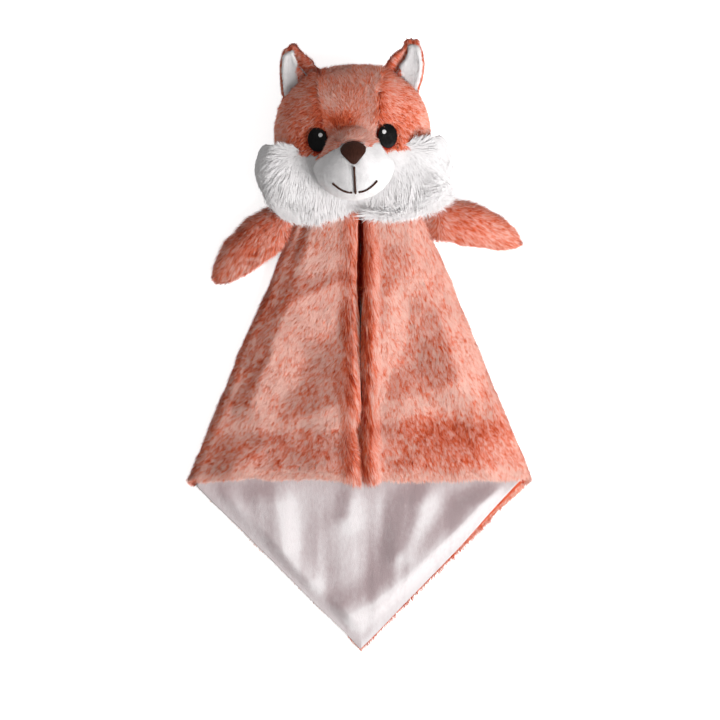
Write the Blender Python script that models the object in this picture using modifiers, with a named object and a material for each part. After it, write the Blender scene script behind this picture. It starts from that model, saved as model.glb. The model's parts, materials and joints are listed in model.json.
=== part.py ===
"""Fox comfort blanket, lying on its back.

A square plush blanket with a velour lining is folded like a kite: both side corners lie
over the front, so that two edges meet in a slit down the middle. A stuffed fox head and
two stuffed arms are sewn to the cut-off top corner.

Metres, +Z up, head towards +Y. The model is built with the neck seam at Y = 0 and the
table at Z = 0, and at the end it is moved so that the middle of its base is the origin.
"""

import math

import bmesh
import bpy
from mathutils import Matrix, Vector
from mathutils.bvhtree import BVHTree

# Blanket
blanket_side = 0.280
corner_to_neck = 0.0927
plush_thickness = 0.0045
lining_thickness = 0.0012
layer_gap = 0.0004
fold_space = 0.0015
lining_inset = 0.0015
slit_width = 0.0035
opening_drop = 0.0240
roll_inset = 0.0120
lapel_slack = 0.0004
roll_gap = 0.0006
neck_rise = 0.0080
rise_length = 0.0270
cloth_cell = 0.0130
ridge_height = 0.0045
ridge_width = 0.0130
roll_flat_width = 0.0050
roll_slope_width = 0.0160
lining_top_trim = 0.0090
plush_top_trim = 0.0012

# Head: the stuffed form
head_half_width = 0.0520
head_half_height = 0.0485
head_half_depth = 0.0312
head_reach = 0.0405
head_offset = 0.0032
head_skin = 0.0026
face_height = 0.0360
seam_gap = 0.0004
filling_gap = 0.0006
back_seam_height = 0.0240
gusset_half_top = 0.0216
gusset_half_low = 0.0175
gusset_top_y = 0.0490
gusset_low_y = 0.0140
border_inner_x = 0.0220
border_inner_y = -0.0067
border_outer_x = 0.0520
border_outer_y = 0.0020
ruff_pile = 0.0105
ruff_start = 0.0300
ruff_spread = 0.0230

# Neck groove
neck_seat = 0.0003
nod_back = math.radians(42)
nod_forward = math.radians(24)
head_turn = math.radians(3)

# Snout
muzzle_half_width = 0.0265
muzzle_half_height = 0.0235
muzzle_half_depth = 0.0250
muzzle_drop = 0.0135
muzzle_level = 0.0585
muzzle_bridge_y = 0.0010
muzzle_skin = 0.0024
nose_width = 0.0190
nose_height = 0.0160
nose_thickness = 0.0016
nose_drop = 0.0060
stitch_radius = 0.0007
mouth_line_drop = 0.0154
mouth_line_length = 0.0178
smile_width = 0.0150
smile_height = 0.0070
smile_end_gap = 0.0022

# Eyes
eye_x = 0.0236
eye_y = 0.0043
eye_width = 0.0130
eye_height = 0.0165
eye_thickness = 0.0014
highlight_width = 0.0028
highlight_x = 0.0022
highlight_y = 0.0030
highlight_thickness = 0.0006

# Ears
ear_base_x = 0.0341
ear_base_y = 0.0377
ear_half_width = 0.0165
ear_height = 0.0325
ear_root_depth = 0.0100
ear_outer_thickness = 0.0034
ear_inner_thickness = 0.0022
ear_rim = 0.0018
ear_turn = 0.0088
ear_tip_rim = 0.0046
ear_layer_gap = 0.0014
ear_cup = 0.0030
ear_thin_height = 0.0100
ear_seat = 0.0009
ear_axis_lift = 0.0015

# Arms
arm_length = 0.0840
arm_half_width = 0.0140
arm_half_thickness = 0.0096
arm_skin = 0.0022
arm_root_share = 0.24
arm_shoulder_drop = 0.0125
arm_seat = 0.0003
arm_flat = 0.0005
arm_axis_lift = 0.0030
arm_left_angle = math.radians(20)
arm_left_curl = 0.0170
arm_right_angle = math.radians(4)
arm_right_curl = 0.0110

# Working distances of the mesh tools
slice_distance = 0.0000001
merge_distance = 0.000001

# Shapes, as shares of the sizes above
corner_angle = math.radians(22.5)
fold_steps = 6
head_puff_power = 2.3
cheek_share = 0.13
thin_share = 0.30
arm_root_squeeze_share = 0.50
arm_squeeze_reach_share = 0.45
nose_low_share = 0.45
nose_wide_share = 0.5
muzzle_narrow_share = 0.19
muzzle_narrow_reach_share = 0.45
head_segments = 28
head_rings = 18
muzzle_segments = 20
muzzle_rings = 12
pad_segments = 16
pad_rings = 8
stitch_steps = 6
sharp_angle = math.radians(50)
arm_segments = 16
arm_rings = 12
ear_columns = 6
ear_rows = 9

# Ridges of the front cloth: side, then start and end as shares of the lapel's width
# (from the slit outwards) and of its height (from the hem up), then a height share
ridge_shares = (
    (1, (0.95, 0.16), (0.12, 0.42), 1.0),
    (1, (0.55, 0.02), (0.20, 0.20), 0.7),
    (-1, (0.10, 0.62), (0.42, 0.02), 0.9),
    (-1, (0.25, 0.20), (0.75, 0.08), 0.6),
)

# Outline of the right ear from its base centre, as shares of its half width and height
ear_inner_base_share = (-0.73, 0.36)
ear_inner_bulge_share = (-0.30, 0.80)
ear_tip_share = (0.42, 1.03)
ear_outer_bulge_share = (1.32, 0.55)
ear_outer_base_share = (0.73, -0.37)
ear_tip_reach_share = 0.93
ear_most_trim_share = 0.42

stack_height = 2 * (plush_thickness + layer_gap + lining_thickness) + fold_space
fold_radius = stack_height / 2
hem_y = corner_to_neck - blanket_side
tip_y = corner_to_neck - blanket_side * math.sqrt(2)
neck_top = stack_height + neck_rise
neck_axis_z = neck_top + neck_seat
roll_axis_z = stack_height + layer_gap / 2
table = -neck_axis_z
overrun = blanket_side


for old in list(bpy.data.objects):
    bpy.data.objects.remove(old, do_unlink=True)

parts = bpy.data.collections.new("fox_comfort_blanket")
cutters = bpy.data.collections.new("cutters")
for group in (parts, cutters):
    bpy.context.scene.collection.children.link(group)
cutters.hide_render = True


def material(name, colour, roughness):
    made = bpy.data.materials.new(name)
    made.use_nodes = True
    shader = made.node_tree.nodes["Principled BSDF"]
    shader.inputs["Base Color"].default_value = (*colour, 1)
    shader.inputs["Roughness"].default_value = roughness
    shader.inputs["Metallic"].default_value = 0
    return made


orange_plush = material("orange_plush", (0.72, 0.19, 0.09), 0.95)
pale_velour = material("pale_velour", (0.84, 0.79, 0.78), 0.9)
white_pile = material("white_pile", (0.86, 0.85, 0.85), 0.95)
brown_satin = material("brown_satin", (0.045, 0.012, 0.008), 0.45)
black_satin = material("black_satin", (0.004, 0.003, 0.003), 0.4)
white_thread = material("white_thread", (0.85, 0.85, 0.85), 0.5)
fibre_filling = material("fibre_filling", (0.9, 0.9, 0.88), 1.0)


def empty(name, matrix, parent=None):
    made = bpy.data.objects.new(name, None)
    made.empty_display_size = fold_radius
    parts.objects.link(made)
    if parent:
        made.parent = parent
        made.matrix_parent_inverse = Matrix()
        made.matrix_basis = parent.matrix_world.inverted() @ matrix
    else:
        made.matrix_basis = matrix
    bpy.context.view_layer.update()
    return made


def as_object(name, data, finish, parent):
    """An object whose data is given in construction space, hung under a parent empty."""
    data.transform(parent.matrix_world.inverted())
    made = bpy.data.objects.new(name, data)
    made.parent = parent
    parts.objects.link(made)
    data.materials.append(finish)
    return made


def from_bmesh(name, bm, finish, parent, frame=None):
    mesh = bpy.data.meshes.new(name)
    bm.to_mesh(mesh)
    bm.free()
    if frame:
        mesh.transform(frame)
    made = as_object(name, mesh, finish, parent)
    mesh.shade_smooth()
    mesh.set_sharp_from_angle(angle=sharp_angle)
    return made


root = empty("root", Matrix())


def cutter(name, bm, frame=None):
    mesh = bpy.data.meshes.new(name)
    bm.to_mesh(mesh)
    bm.free()
    if frame:
        mesh.transform(frame)
    made = bpy.data.objects.new(name, mesh)
    made.hide_render = True
    made.display_type = "WIRE"
    made.parent = root
    cutters.objects.link(made)
    return made


def cut(target, *tools, crossing_itself=False):
    for tool in tools:
        boolean = target.modifiers.new("cut_by_" + tool.name, "BOOLEAN")
        boolean.operation = "DIFFERENCE"
        boolean.object = tool
        boolean.use_self = crossing_itself


def smooth_step(low, high, value):
    t = min(max((value - low) / (high - low), 0), 1)
    return t * t * (3 - 2 * t)


# The blanket


def fold_normal(side):
    return Vector((side * math.cos(corner_angle), math.sin(corner_angle)))


def fold_distance(point, side):
    """Distance of a plan point outwards from the middle of an outer fold."""
    corner = Vector((0, corner_to_neck))
    return (point - corner).dot(fold_normal(side)) + fold_radius


def fold_x(y, inset=0):
    """Where the middle of the right fold lies at a height on the plan."""
    return (corner_to_neck - y) * math.tan(corner_angle) - (fold_radius + inset) / math.cos(corner_angle)


def unfolded(point, side, radius):
    """A plan point of the front layer, laid flat beside the back."""
    normal = fold_normal(side)
    distance = fold_distance(point, side)
    return point - 2 * distance * normal + math.pi * radius * normal


def rise(y):
    """How far the cloth is lifted off the table on its way up to the neck seam."""
    return neck_rise * max(1 + y / rise_length, 0)


def down_the_fold(side):
    return Vector((side * math.sin(corner_angle), -math.cos(corner_angle)))


def folded(point, radius, top):
    """Where a point of the flat sheet lies once both sides are folded over."""
    for side in (-1, 1):
        distance = fold_distance(point, side)
        if distance <= 0:
            continue
        normal = fold_normal(side)
        base = point - distance * normal
        turn = math.pi * radius
        if distance < turn:
            angle = distance / radius
            place = base + normal * radius * math.sin(angle)
            level = fold_radius - radius * math.cos(angle)
        else:
            place = base - normal * (distance - turn)
            level = fold_radius + radius
        place -= down_the_fold(side) * min(top - place.y, 0) / math.cos(corner_angle)
        return Vector((place.x, place.y, level + rise(place.y)))
    return Vector((point.x, point.y, fold_radius - radius + rise(point.y)))


def roll_ends():
    """The two ends of the right roll line on the plan."""
    top = Vector((slit_width / 2, -opening_drop))
    low = Vector((fold_x(hem_y) - roll_inset, hem_y))
    return top, low


def roll_line_at(y, side=1, gap=0):
    """The roll line's X at a height, or that of a line a gap further in."""
    top, low = roll_ends()
    share = (y - top.y) / (low.y - top.y)
    return side * (top.x + share * (low.x - top.x) - gap / math.cos((low - top).angle(Vector((0, -1)))))


def roll_line_y(x):
    top, low = roll_ends()
    return top.y + (x - top.x) / (low.x - top.x) * (low.y - top.y)


def slice_across(bm, point, normal):
    geometry = bm.verts[:] + bm.edges[:] + bm.faces[:]
    bmesh.ops.bisect_plane(bm, geom=geometry, dist=slice_distance, plane_co=point, plane_no=normal)


def flat_polygon(points):
    bm = bmesh.new()
    bm.faces.new([bm.verts.new((p.x, p.y, 0)) for p in points])
    return bm


def blanket_sheet(name, radius, thickness, inset, finish, parent):
    """One sheet of the blanket: back, both outer folds and the front up to the roll lines."""
    low_edge = tip_y + inset * math.sqrt(2)
    corner_x = (corner_to_neck - low_edge) * math.tan(corner_angle) - fold_radius / math.cos(corner_angle)
    corner_x = corner_x / (1 + math.tan(corner_angle))
    slit = slit_width / 2 + inset
    hem = hem_y + inset
    front = [
        Vector((fold_x(hem), hem)),
        Vector((roll_line_at(hem), hem)),
        Vector((slit, roll_line_y(slit))),
        Vector((slit, -inset)),
        Vector((fold_x(-inset), -inset)),
    ]
    right = [Vector((corner_x, low_edge + corner_x))]
    right += [unfolded(p, 1, radius) for p in front]
    right.append(front[-1])
    left = [Vector((-p.x, p.y)) for p in reversed(right)]
    bm = flat_polygon([Vector((0, low_edge))] + right + left)
    for side in (-1, 1):
        normal = fold_normal(side)
        centre = Vector((0, corner_to_neck)) - normal * fold_radius
        for step in range(fold_steps + 1):
            place = centre + normal * math.pi * radius * step / fold_steps
            slice_across(bm, place.to_3d(), normal.to_3d())
    slice_across(bm, (0, -rise_length, 0), (0, 1, 0))
    for side in (-1, 1):
        normal = fold_normal(side)
        across = Vector((0, 1)) - 2 * normal.y * normal
        place = unfolded(Vector((side * fold_x(-rise_length), -rise_length)), side, radius)
        slice_beyond_fold(bm, place, across, side)
    bmesh.ops.triangulate(bm, faces=bm.faces[:])
    for vertex in bm.verts:
        vertex.co = folded(vertex.co.to_2d(), radius, -inset)
    bmesh.ops.remove_doubles(bm, verts=bm.verts[:], dist=merge_distance)
    sheet = from_bmesh(name, bm, finish, parent)
    thicken(sheet, thickness)
    return sheet


def slice_beyond_fold(bm, place, across, side):
    """Slices only the part of a flat sheet that lies outside one outer fold."""
    faces = [f for f in bm.faces if fold_distance(f.calc_center_median().to_2d(), side) > 0]
    edges = {e for f in faces for e in f.edges}
    verts = {v for f in faces for v in f.verts}
    geometry = list(verts) + list(edges) + faces
    point, normal = place.to_3d(), across.to_3d()
    bmesh.ops.bisect_plane(bm, geom=geometry, dist=slice_distance, plane_co=point, plane_no=normal)


def thicken(sheet, thickness):
    solid = sheet.modifiers.new("thickness", "SOLIDIFY")
    solid.thickness = thickness
    solid.offset = 0
    solid.use_even_offset = True


def ridge(point, side):
    """How far the front cloth's soft ridges lift it above a flat front."""
    width = roll_line_at(hem_y)
    height = -opening_drop - hem_y
    lift = 0
    for ridge_side, start, end, share in ridge_shares:
        if ridge_side != side:
            continue
        a = Vector((side * start[0] * width, hem_y + start[1] * height))
        b = Vector((side * end[0] * width, hem_y + end[1] * height))
        along = min(max((point - a).dot(b - a) / (b - a).length_squared, 0), 1)
        off = (point - a - along * (b - a)).length
        lift += share * ridge_height * math.exp(-((off / ridge_width) ** 2))
    inside = abs(roll_line_at(point.y)) - abs(point.x)
    return lift * smooth_step(roll_flat_width, roll_flat_width + roll_slope_width, inside)


def trim_away(bm, place, normal):
    geometry = bm.verts[:] + bm.edges[:] + bm.faces[:]
    bmesh.ops.bisect_plane(
        bm, geom=geometry, dist=slice_distance, plane_co=place, plane_no=normal, clear_outer=True
    )


def lapel_sheet(name, side, level, thickness, inset, top_trim, finish, parent):
    """One layer of a front corner, from the slit and the hem out to the roll line."""
    slit = slit_width / 2
    top, low = roll_ends()
    shift = roll_line_at(0) - roll_line_at(0, 1, roll_gap)
    corners = [
        Vector((slit, hem_y)),
        Vector((roll_line_at(hem_y, 1, roll_gap), hem_y)),
        Vector((slit, roll_line_y(slit + shift))),
    ]
    bm = flat_polygon(corners)
    for axis, first, last in ((0, slit, corners[1].x), (1, hem_y, corners[2].y)):
        cells = int((last - first) / cloth_cell) + 1
        for step in range(1, cells):
            place, normal = Vector(), Vector()
            place[axis] = first + step * (last - first) / cells
            normal[axis] = 1
            slice_across(bm, place, normal)
    along = (low - top).normalized()
    flat_edge = Vector((roll_line_at(hem_y, 1, roll_flat_width), hem_y, 0))
    slice_across(bm, flat_edge, (along.y, -along.x, 0))
    bmesh.ops.triangulate(bm, faces=bm.faces[:])
    for vertex in bm.verts:
        vertex.co.x *= side
        vertex.co.z = level + ridge(vertex.co.to_2d(), side)
    trim_away(bm, (0, corners[2].y - top_trim, 0), (0, 1, 0))
    if inset:
        trim_away(bm, (side * (slit + inset), 0, 0), (-side, 0, 0))
        trim_away(bm, (0, hem_y + inset, 0), (0, -1, 0))
    sheet = from_bmesh(name, bm, finish, parent)
    thicken(sheet, thickness)
    return sheet


def build_blanket(lapel_empties):
    plush_radius = fold_radius - plush_thickness / 2
    lining_radius = fold_radius - plush_thickness - layer_gap - lining_thickness / 2
    blanket_sheet("blanket_plush", plush_radius, plush_thickness, 0, orange_plush, root)
    blanket_sheet("blanket_lining", lining_radius, lining_thickness, lining_inset, pale_velour, root)
    for side, word in ((-1, "left"), (1, "right")):
        lapel_sheet(
            "lapel_plush_" + word, side, fold_radius + plush_radius, plush_thickness, 0,
            plush_top_trim, orange_plush, lapel_empties[side],
        )
        lapel_sheet(
            "lapel_lining_" + word, side, fold_radius + lining_radius - lapel_slack, lining_thickness,
            lining_inset, lining_top_trim, pale_velour, lapel_empties[side],
        )


# The head, in its own space: origin on the neck axis, Y up the face, Z out of the table


def head_direction_scale(direction):
    total = sum(abs(part) ** head_puff_power for part in direction)
    return total ** (-1 / head_puff_power)


def head_form(grow=0, pile=0):
    """The stuffed head as a closed form, made larger or smaller by grow."""
    bm = bmesh.new()
    bmesh.ops.create_uvsphere(bm, u_segments=head_segments, v_segments=head_rings, radius=1)
    centre = Vector((0, head_reach, head_half_depth + table))
    for vertex in bm.verts:
        unit = vertex.co * head_direction_scale(vertex.co)
        low = max(-unit.y, 0)
        cheek = 1 + cheek_share * 4 * low * (1 - low)
        size = Vector((head_half_width * cheek, head_half_height, head_half_depth))
        vertex.co = centre + unit * size
    bm.normal_update()
    for vertex in bm.verts:
        vertex.co += vertex.normal * (grow + pile * ruff_share(vertex.co))
    rest_on_table(bm, table - grow)
    return bm


def rest_on_table(bm, level):
    """Flattens what would reach below the surface that the toy lies on."""
    for vertex in bm.verts:
        vertex.co.z = max(vertex.co.z, level)


def ruff_share(point):
    """0 under the snout, rising to 1 where the cheek pile is longest."""
    down = point.y - face_height + muzzle_drop
    reach = math.hypot(point.x, down * muzzle_half_width / muzzle_half_height)
    return smooth_step(ruff_start, ruff_start + ruff_spread, reach)


def section(bm, planes):
    """Keeps the closed form behind each plane, and closes the cut."""
    for point, normal in planes:
        geometry = bm.verts[:] + bm.edges[:] + bm.faces[:]
        done = bmesh.ops.bisect_plane(
            bm, geom=geometry, dist=slice_distance, plane_co=point, plane_no=normal, clear_outer=True
        )
        rim = [item for item in done["geom_cut"] if isinstance(item, bmesh.types.BMEdge)]
        bmesh.ops.holes_fill(bm, edges=rim)
    return outward(bm)


def outward(bm):
    """Turns the faces of a closed form outwards."""
    bmesh.ops.recalc_face_normals(bm, faces=bm.faces[:])
    if bm.calc_volume(signed=True) < 0:
        bmesh.ops.reverse_faces(bm, faces=bm.faces[:])
    bm.normal_update()
    return bm


def face_point(x, y):
    return Vector((x, face_height + y, 0))


def plane_between(a, b, keep, gap):
    """An upright plane through two plan points, moved a gap towards the side kept."""
    along = (b - a).normalized()
    normal = Vector((along.y, -along.x, 0))
    if normal.dot(keep - a) > 0:
        normal = -normal
    return a - normal * gap, normal


def build_head_skins(neck, head_frame, notch):
    half_gap = seam_gap / 2
    inside = cutter("inside_of_head_skin", head_form(-head_skin), head_frame)
    above = (Vector((0, 0, back_seam_height + table + half_gap)), Vector((0, 0, -1)))
    below = (Vector((0, 0, back_seam_height + table - half_gap)), Vector((0, 0, 1)))
    top = face_point(0, gusset_top_y)
    chin = face_point(0, -head_half_height)

    gusset_planes, border_above = [], []
    for side in (-1, 1):
        high = face_point(side * gusset_half_top, gusset_top_y)
        low = face_point(side * gusset_half_low, gusset_low_y)
        gusset_planes.append(plane_between(high, low, top - Vector((0, head_half_width, 0)), half_gap))
        inner = face_point(side * border_inner_x, border_inner_y)
        outer = face_point(side * border_outer_x, border_outer_y)
        border_above.append(plane_between(inner, outer, top, half_gap))
    gusset = section(head_form(), [above] + gusset_planes + border_above)
    cut(from_bmesh("forehead_gusset", gusset, orange_plush, neck, head_frame), inside)

    for side, word in ((-1, "left"), (1, "right")):
        high = face_point(side * gusset_half_top, gusset_top_y)
        low = face_point(side * gusset_half_low, gusset_low_y)
        inner = face_point(side * border_inner_x, border_inner_y)
        outer = face_point(side * border_outer_x, border_outer_y)
        beside = plane_between(high, low, outer, half_gap)
        over = plane_between(inner, outer, top, half_gap)
        skin = section(head_form(), [above, beside, over])
        cut(from_bmesh("side_face_" + word, skin, orange_plush, neck, head_frame), inside)

        under = plane_between(inner, outer, chin, half_gap)
        middle = (Vector((side * half_gap, 0, 0)), Vector((-side, 0, 0)))
        ruff = section(head_form(0, ruff_pile), [above, under, middle])
        ruff_object = from_bmesh("cheek_ruff_" + word, ruff, white_pile, neck, head_frame)
        cut(ruff_object, inside, notch)

    back = section(head_form(), [below])
    cut(from_bmesh("head_back", back, orange_plush, neck, head_frame), inside, notch)
    filling = head_form(-head_skin - filling_gap)
    cut(from_bmesh("head_stuffing", filling, fibre_filling, neck, head_frame), notch)


def neck_notch():
    """The valley of the neck seam: the room that the nodding head leaves for the blanket."""
    back = Vector((math.sin(nod_back), -math.cos(nod_back))) * overrun
    front = Vector((-math.cos(nod_forward), math.sin(nod_forward))) * overrun
    apex = Vector((neck_seat, neck_axis_z))
    below = apex + front - Vector((0, overrun))
    beside = apex + back - Vector((overrun, 0))
    corners = [apex, apex + front, below, beside, apex + back]
    bm = bmesh.new()
    face = bm.faces.new([bm.verts.new((-overrun, p.x, p.y)) for p in corners])
    made = bmesh.ops.extrude_face_region(bm, geom=[face])
    moved = [item for item in made["geom"] if isinstance(item, bmesh.types.BMVert)]
    bmesh.ops.translate(bm, verts=moved, vec=(2 * overrun, 0, 0))
    return cutter("neck_notch", outward(bm))


# The snout


def muzzle_form(grow=0):
    bm = bmesh.new()
    bmesh.ops.create_uvsphere(bm, u_segments=muzzle_segments, v_segments=muzzle_rings, radius=1)
    size = Vector((muzzle_half_width + grow, muzzle_half_height + grow, muzzle_half_depth + grow))
    for vertex in bm.verts:
        unit = vertex.co.copy()
        unit.x *= 1 - muzzle_narrow_share * smooth_step(0, muzzle_narrow_reach_share, unit.y)
        vertex.co = muzzle_centre() + unit * size
    return bm


def muzzle_centre():
    return face_point(0, -muzzle_drop) + Vector((0, 0, muzzle_level + table))


def build_muzzle(neck, head_frame):
    half_gap = seam_gap / 2
    inside = cutter("inside_of_muzzle_skin", muzzle_form(-muzzle_skin), head_frame)
    seat = cutter("muzzle_seat", head_form(layer_gap), head_frame)
    border = face_point(0, muzzle_bridge_y)
    bridge = section(muzzle_form(), [(border + Vector((0, half_gap, 0)), Vector((0, -1, 0)))])
    cut(from_bmesh("muzzle_bridge", bridge, orange_plush, neck, head_frame), inside, seat)
    for side, word in ((-1, "left"), (1, "right")):
        planes = [
            (border - Vector((0, half_gap, 0)), Vector((0, 1, 0))),
            (Vector((side * half_gap, 0, 0)), Vector((-side, 0, 0))),
        ]
        skin = section(muzzle_form(), planes)
        cut(from_bmesh("muzzle_" + word, skin, white_pile, neck, head_frame), inside, seat)
    filling = muzzle_form(-muzzle_skin - filling_gap)
    cut(from_bmesh("muzzle_stuffing", filling, fibre_filling, neck, head_frame), seat)


# Embroidery


class Surface:
    """A closed form that stitches are laid on from the front."""

    def __init__(self, bm):
        self.tree = BVHTree.FromBMesh(bm)
        bm.free()

    def height(self, x, y):
        hit = self.tree.ray_cast(Vector((x, y, overrun)), Vector((0, 0, -1)))[0]
        return hit.z


def satin_pad(name, surface, centre, outline, thickness, lift, finish, neck, head_frame):
    """A low cushion of satin stitches that follows the surface under it."""
    bm = bmesh.new()
    bmesh.ops.create_uvsphere(bm, u_segments=pad_segments, v_segments=pad_rings, radius=1)
    for vertex in bm.verts:
        unit = vertex.co.copy()
        flat = outline(unit.x, unit.y)
        x, y = centre.x + flat[0], centre.y + flat[1]
        rise_here = thickness * (unit.z + 1) / 2
        vertex.co = Vector((x, y, surface.height(x, y) + lift + rise_here))
    return from_bmesh(name, bm, finish, neck, head_frame)


def oval(width, height):
    return lambda x, y: (x * width / 2, y * height / 2)


def nose_outline(x, y):
    """Wide and level at the top, narrow and round at the bottom."""
    narrow = nose_low_share + (1 - nose_low_share) * smooth_step(-1, nose_wide_share, y)
    return x * narrow * nose_width / 2, y * nose_height / 2


def stitch_line(name, surface, points, finish, neck, head_frame):
    curve = bpy.data.curves.new(name, "CURVE")
    curve.dimensions = "3D"
    curve.bevel_depth = stitch_radius
    curve.bevel_resolution = 1
    curve.use_fill_caps = True
    spline = curve.splines.new("POLY")
    spline.points.add(len(points) - 1)
    for point, (x, y) in zip(spline.points, points):
        z = surface.height(x, y) + 2 * layer_gap + stitch_radius
        point.co = (x, y, z, 1)
    curve.transform(head_frame)
    return as_object(name, curve, finish, neck)


def build_face(neck, head_frame):
    head = Surface(head_form())
    snout = Surface(muzzle_form())
    for side, word in ((-1, "left"), (1, "right")):
        centre = face_point(side * eye_x, eye_y)
        satin_pad(
            "eye_" + word, head, centre, oval(eye_width, eye_height), eye_thickness,
            layer_gap, black_satin, neck, head_frame,
        )
        spot = centre + Vector((highlight_x - (side + 1) * highlight_x, highlight_y, 0))
        satin_pad(
            "eye_highlight_" + word, head, spot, oval(highlight_width, highlight_width),
            highlight_thickness, 2 * layer_gap + eye_thickness, white_thread, neck, head_frame,
        )
    nose_at = face_point(0, -nose_drop)
    satin_pad(
        "nose", snout, nose_at, nose_outline, nose_thickness, layer_gap, brown_satin, neck, head_frame,
    )
    top = face_point(0, -mouth_line_drop)
    line = [(0, top.y - mouth_line_length * i / stitch_steps) for i in range(stitch_steps + 1)]
    stitch_line("mouth_line", snout, line, brown_satin, neck, head_frame)
    low_y = top.y - mouth_line_length + stitch_radius
    for side, word in ((-1, "left"), (1, "right")):
        smile = []
        for i in range(stitch_steps + 1):
            share = i / stitch_steps
            x = smile_end_gap + share * (smile_width - smile_end_gap)
            y = low_y + smile_height * share ** 2
            smile.append((side * x, y))
        stitch_line("smile_" + word, snout, smile, brown_satin, neck, head_frame)


# Ears


def curve_point(a, b, c, t):
    """A point of the quadratic curve from a, bent towards b, to c."""
    return a * (1 - t) ** 2 + b * 2 * t * (1 - t) + c * t ** 2


def ear_layer(name, side, margins, thickness, forward, finish, empty_here, head_frame, seat):
    inner_margin, outer_margin, tip_margin = margins
    base = face_point(ear_base_x, ear_base_y)
    level = head_half_depth + table
    size = Vector((ear_half_width, ear_height, 0))

    def place(share):
        return base + Vector((share[0], share[1], 0)) * size

    inner_base, outer_base = place(ear_inner_base_share), place(ear_outer_base_share)
    inner_bulge, outer_bulge = place(ear_inner_bulge_share), place(ear_outer_bulge_share)
    tip = place(ear_tip_share)
    outward = Vector((inner_base.y - outer_base.y, outer_base.x - inner_base.x, 0)).normalized()
    root = -outward * ear_root_depth
    bm = bmesh.new()
    bmesh.ops.create_grid(bm, x_segments=ear_columns, y_segments=ear_rows, size=1)
    group_weights = {}
    for vertex in bm.verts:
        across = (vertex.co.x + 1) / 2
        up = (vertex.co.y + 1) / 2
        t = up * (ear_tip_reach_share - tip_margin / ear_height)
        inner = curve_point(inner_base + root, inner_bulge, tip, t)
        outer = curve_point(outer_base + root, outer_bulge, tip, t)
        width = (outer - inner).length
        near = min(inner_margin / width, ear_most_trim_share)
        far = min(outer_margin / width, ear_most_trim_share / 2)
        across = near + across * (1 - near - far)
        spot = inner.lerp(outer, across)
        thin = thin_share + (1 - thin_share) * smooth_step(
            0, ear_thin_height, (spot - inner_base).dot(outward)
        )
        cup = ear_cup * (2 * across - 1) ** 2 * thin
        spot.z = level + forward * thin + cup
        spot.x *= side
        vertex.co = spot
        group_weights[vertex.index] = thin
    if side < 0:
        bmesh.ops.reverse_faces(bm, faces=bm.faces[:])
    layer = from_bmesh(name, bm, finish, empty_here, head_frame)
    weights = layer.vertex_groups.new(name="thin_base")
    for index, weight in group_weights.items():
        weights.add([index], weight, "REPLACE")
    solid = layer.modifiers.new("thickness", "SOLIDIFY")
    solid.thickness = thickness
    solid.offset = 0
    solid.vertex_group = "thin_base"
    cut(layer, seat)
    return layer


def build_ears(ear_empties, head_frame):
    seat = cutter("ear_seat", head_form(ear_seat), head_frame)
    forward = (ear_outer_thickness + ear_inner_thickness) / 2 + ear_layer_gap
    for side, word in ((-1, "left"), (1, "right")):
        here = ear_empties[side]
        ear_layer(
            "ear_outer_" + word, side, (0, 0, 0), ear_outer_thickness, 0, orange_plush, here,
            head_frame, seat,
        )
        ear_layer(
            "ear_inner_" + word, side, (ear_turn, ear_rim, ear_tip_rim), ear_inner_thickness, forward,
            white_pile, here, head_frame, seat,
        )


# Arms, in a space with X along the arm from the shoulder seam


def arm_form(grow, curl):
    """A stuffed arm with a rounded paw, curled downwards towards its end."""
    bm = bmesh.new()
    bmesh.ops.create_uvsphere(bm, u_segments=arm_segments, v_segments=arm_rings, radius=1)
    bmesh.ops.rotate(bm, verts=bm.verts[:], matrix=Matrix.Rotation(math.pi / 2, 3, "Y"))
    shown = arm_length * (1 - arm_root_share)
    for vertex in bm.verts:
        unit = vertex.co.copy()
        x = arm_length * ((unit.x + 1) / 2 - arm_root_share)
        fill = smooth_step(0, shown * arm_squeeze_reach_share, x)
        squeeze = arm_root_squeeze_share + (1 - arm_root_squeeze_share) * fill
        y = unit.y * arm_half_width
        z = unit.z * arm_half_thickness * squeeze
        vertex.co = Vector((x, y - curl * max(x / shown, 0) ** 2, z))
    bm.normal_update()
    for vertex in bm.verts:
        vertex.co += vertex.normal * grow
    rest_on_table(bm, -arm_half_thickness + arm_flat - grow)
    return bm


def build_arm(word, side, angle, curl, arm_empty):
    level = arm_half_thickness - arm_flat
    shoulder = Vector((side * (fold_x(-arm_shoulder_drop, -fold_radius)), -arm_shoulder_drop, level))
    frame = Matrix.Translation(shoulder) @ Matrix.Rotation(-side * angle, 4, "Z")
    if side < 0:
        frame = frame @ Matrix.Scale(-1, 4, (1, 0, 0))
    normal = fold_normal(side).to_3d()
    corner = Vector((0, corner_to_neck, 0))
    half_gap = seam_gap / 2

    def placed(bm):
        bmesh.ops.transform(bm, matrix=frame, verts=bm.verts[:])
        return outward(bm)

    inside = cutter("inside_of_arm_skin_" + word, placed(arm_form(-arm_skin, curl)))
    root = (corner + normal * arm_seat, -normal)
    deep = (corner + normal * (arm_seat + arm_skin), -normal)
    for piece, way in (("front", 1), ("back", -1)):
        seam = (Vector((0, 0, level + way * half_gap)), Vector((0, 0, -way)))
        skin = section(placed(arm_form(0, curl)), [root, seam])
        skin_object = from_bmesh("arm_" + piece + "_" + word, skin, orange_plush, arm_empty)
        cut(skin_object, inside, crossing_itself=True)
    filling = section(placed(arm_form(-arm_skin - filling_gap, curl)), [deep])
    from_bmesh("arm_stuffing_" + word, filling, fibre_filling, arm_empty)


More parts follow.
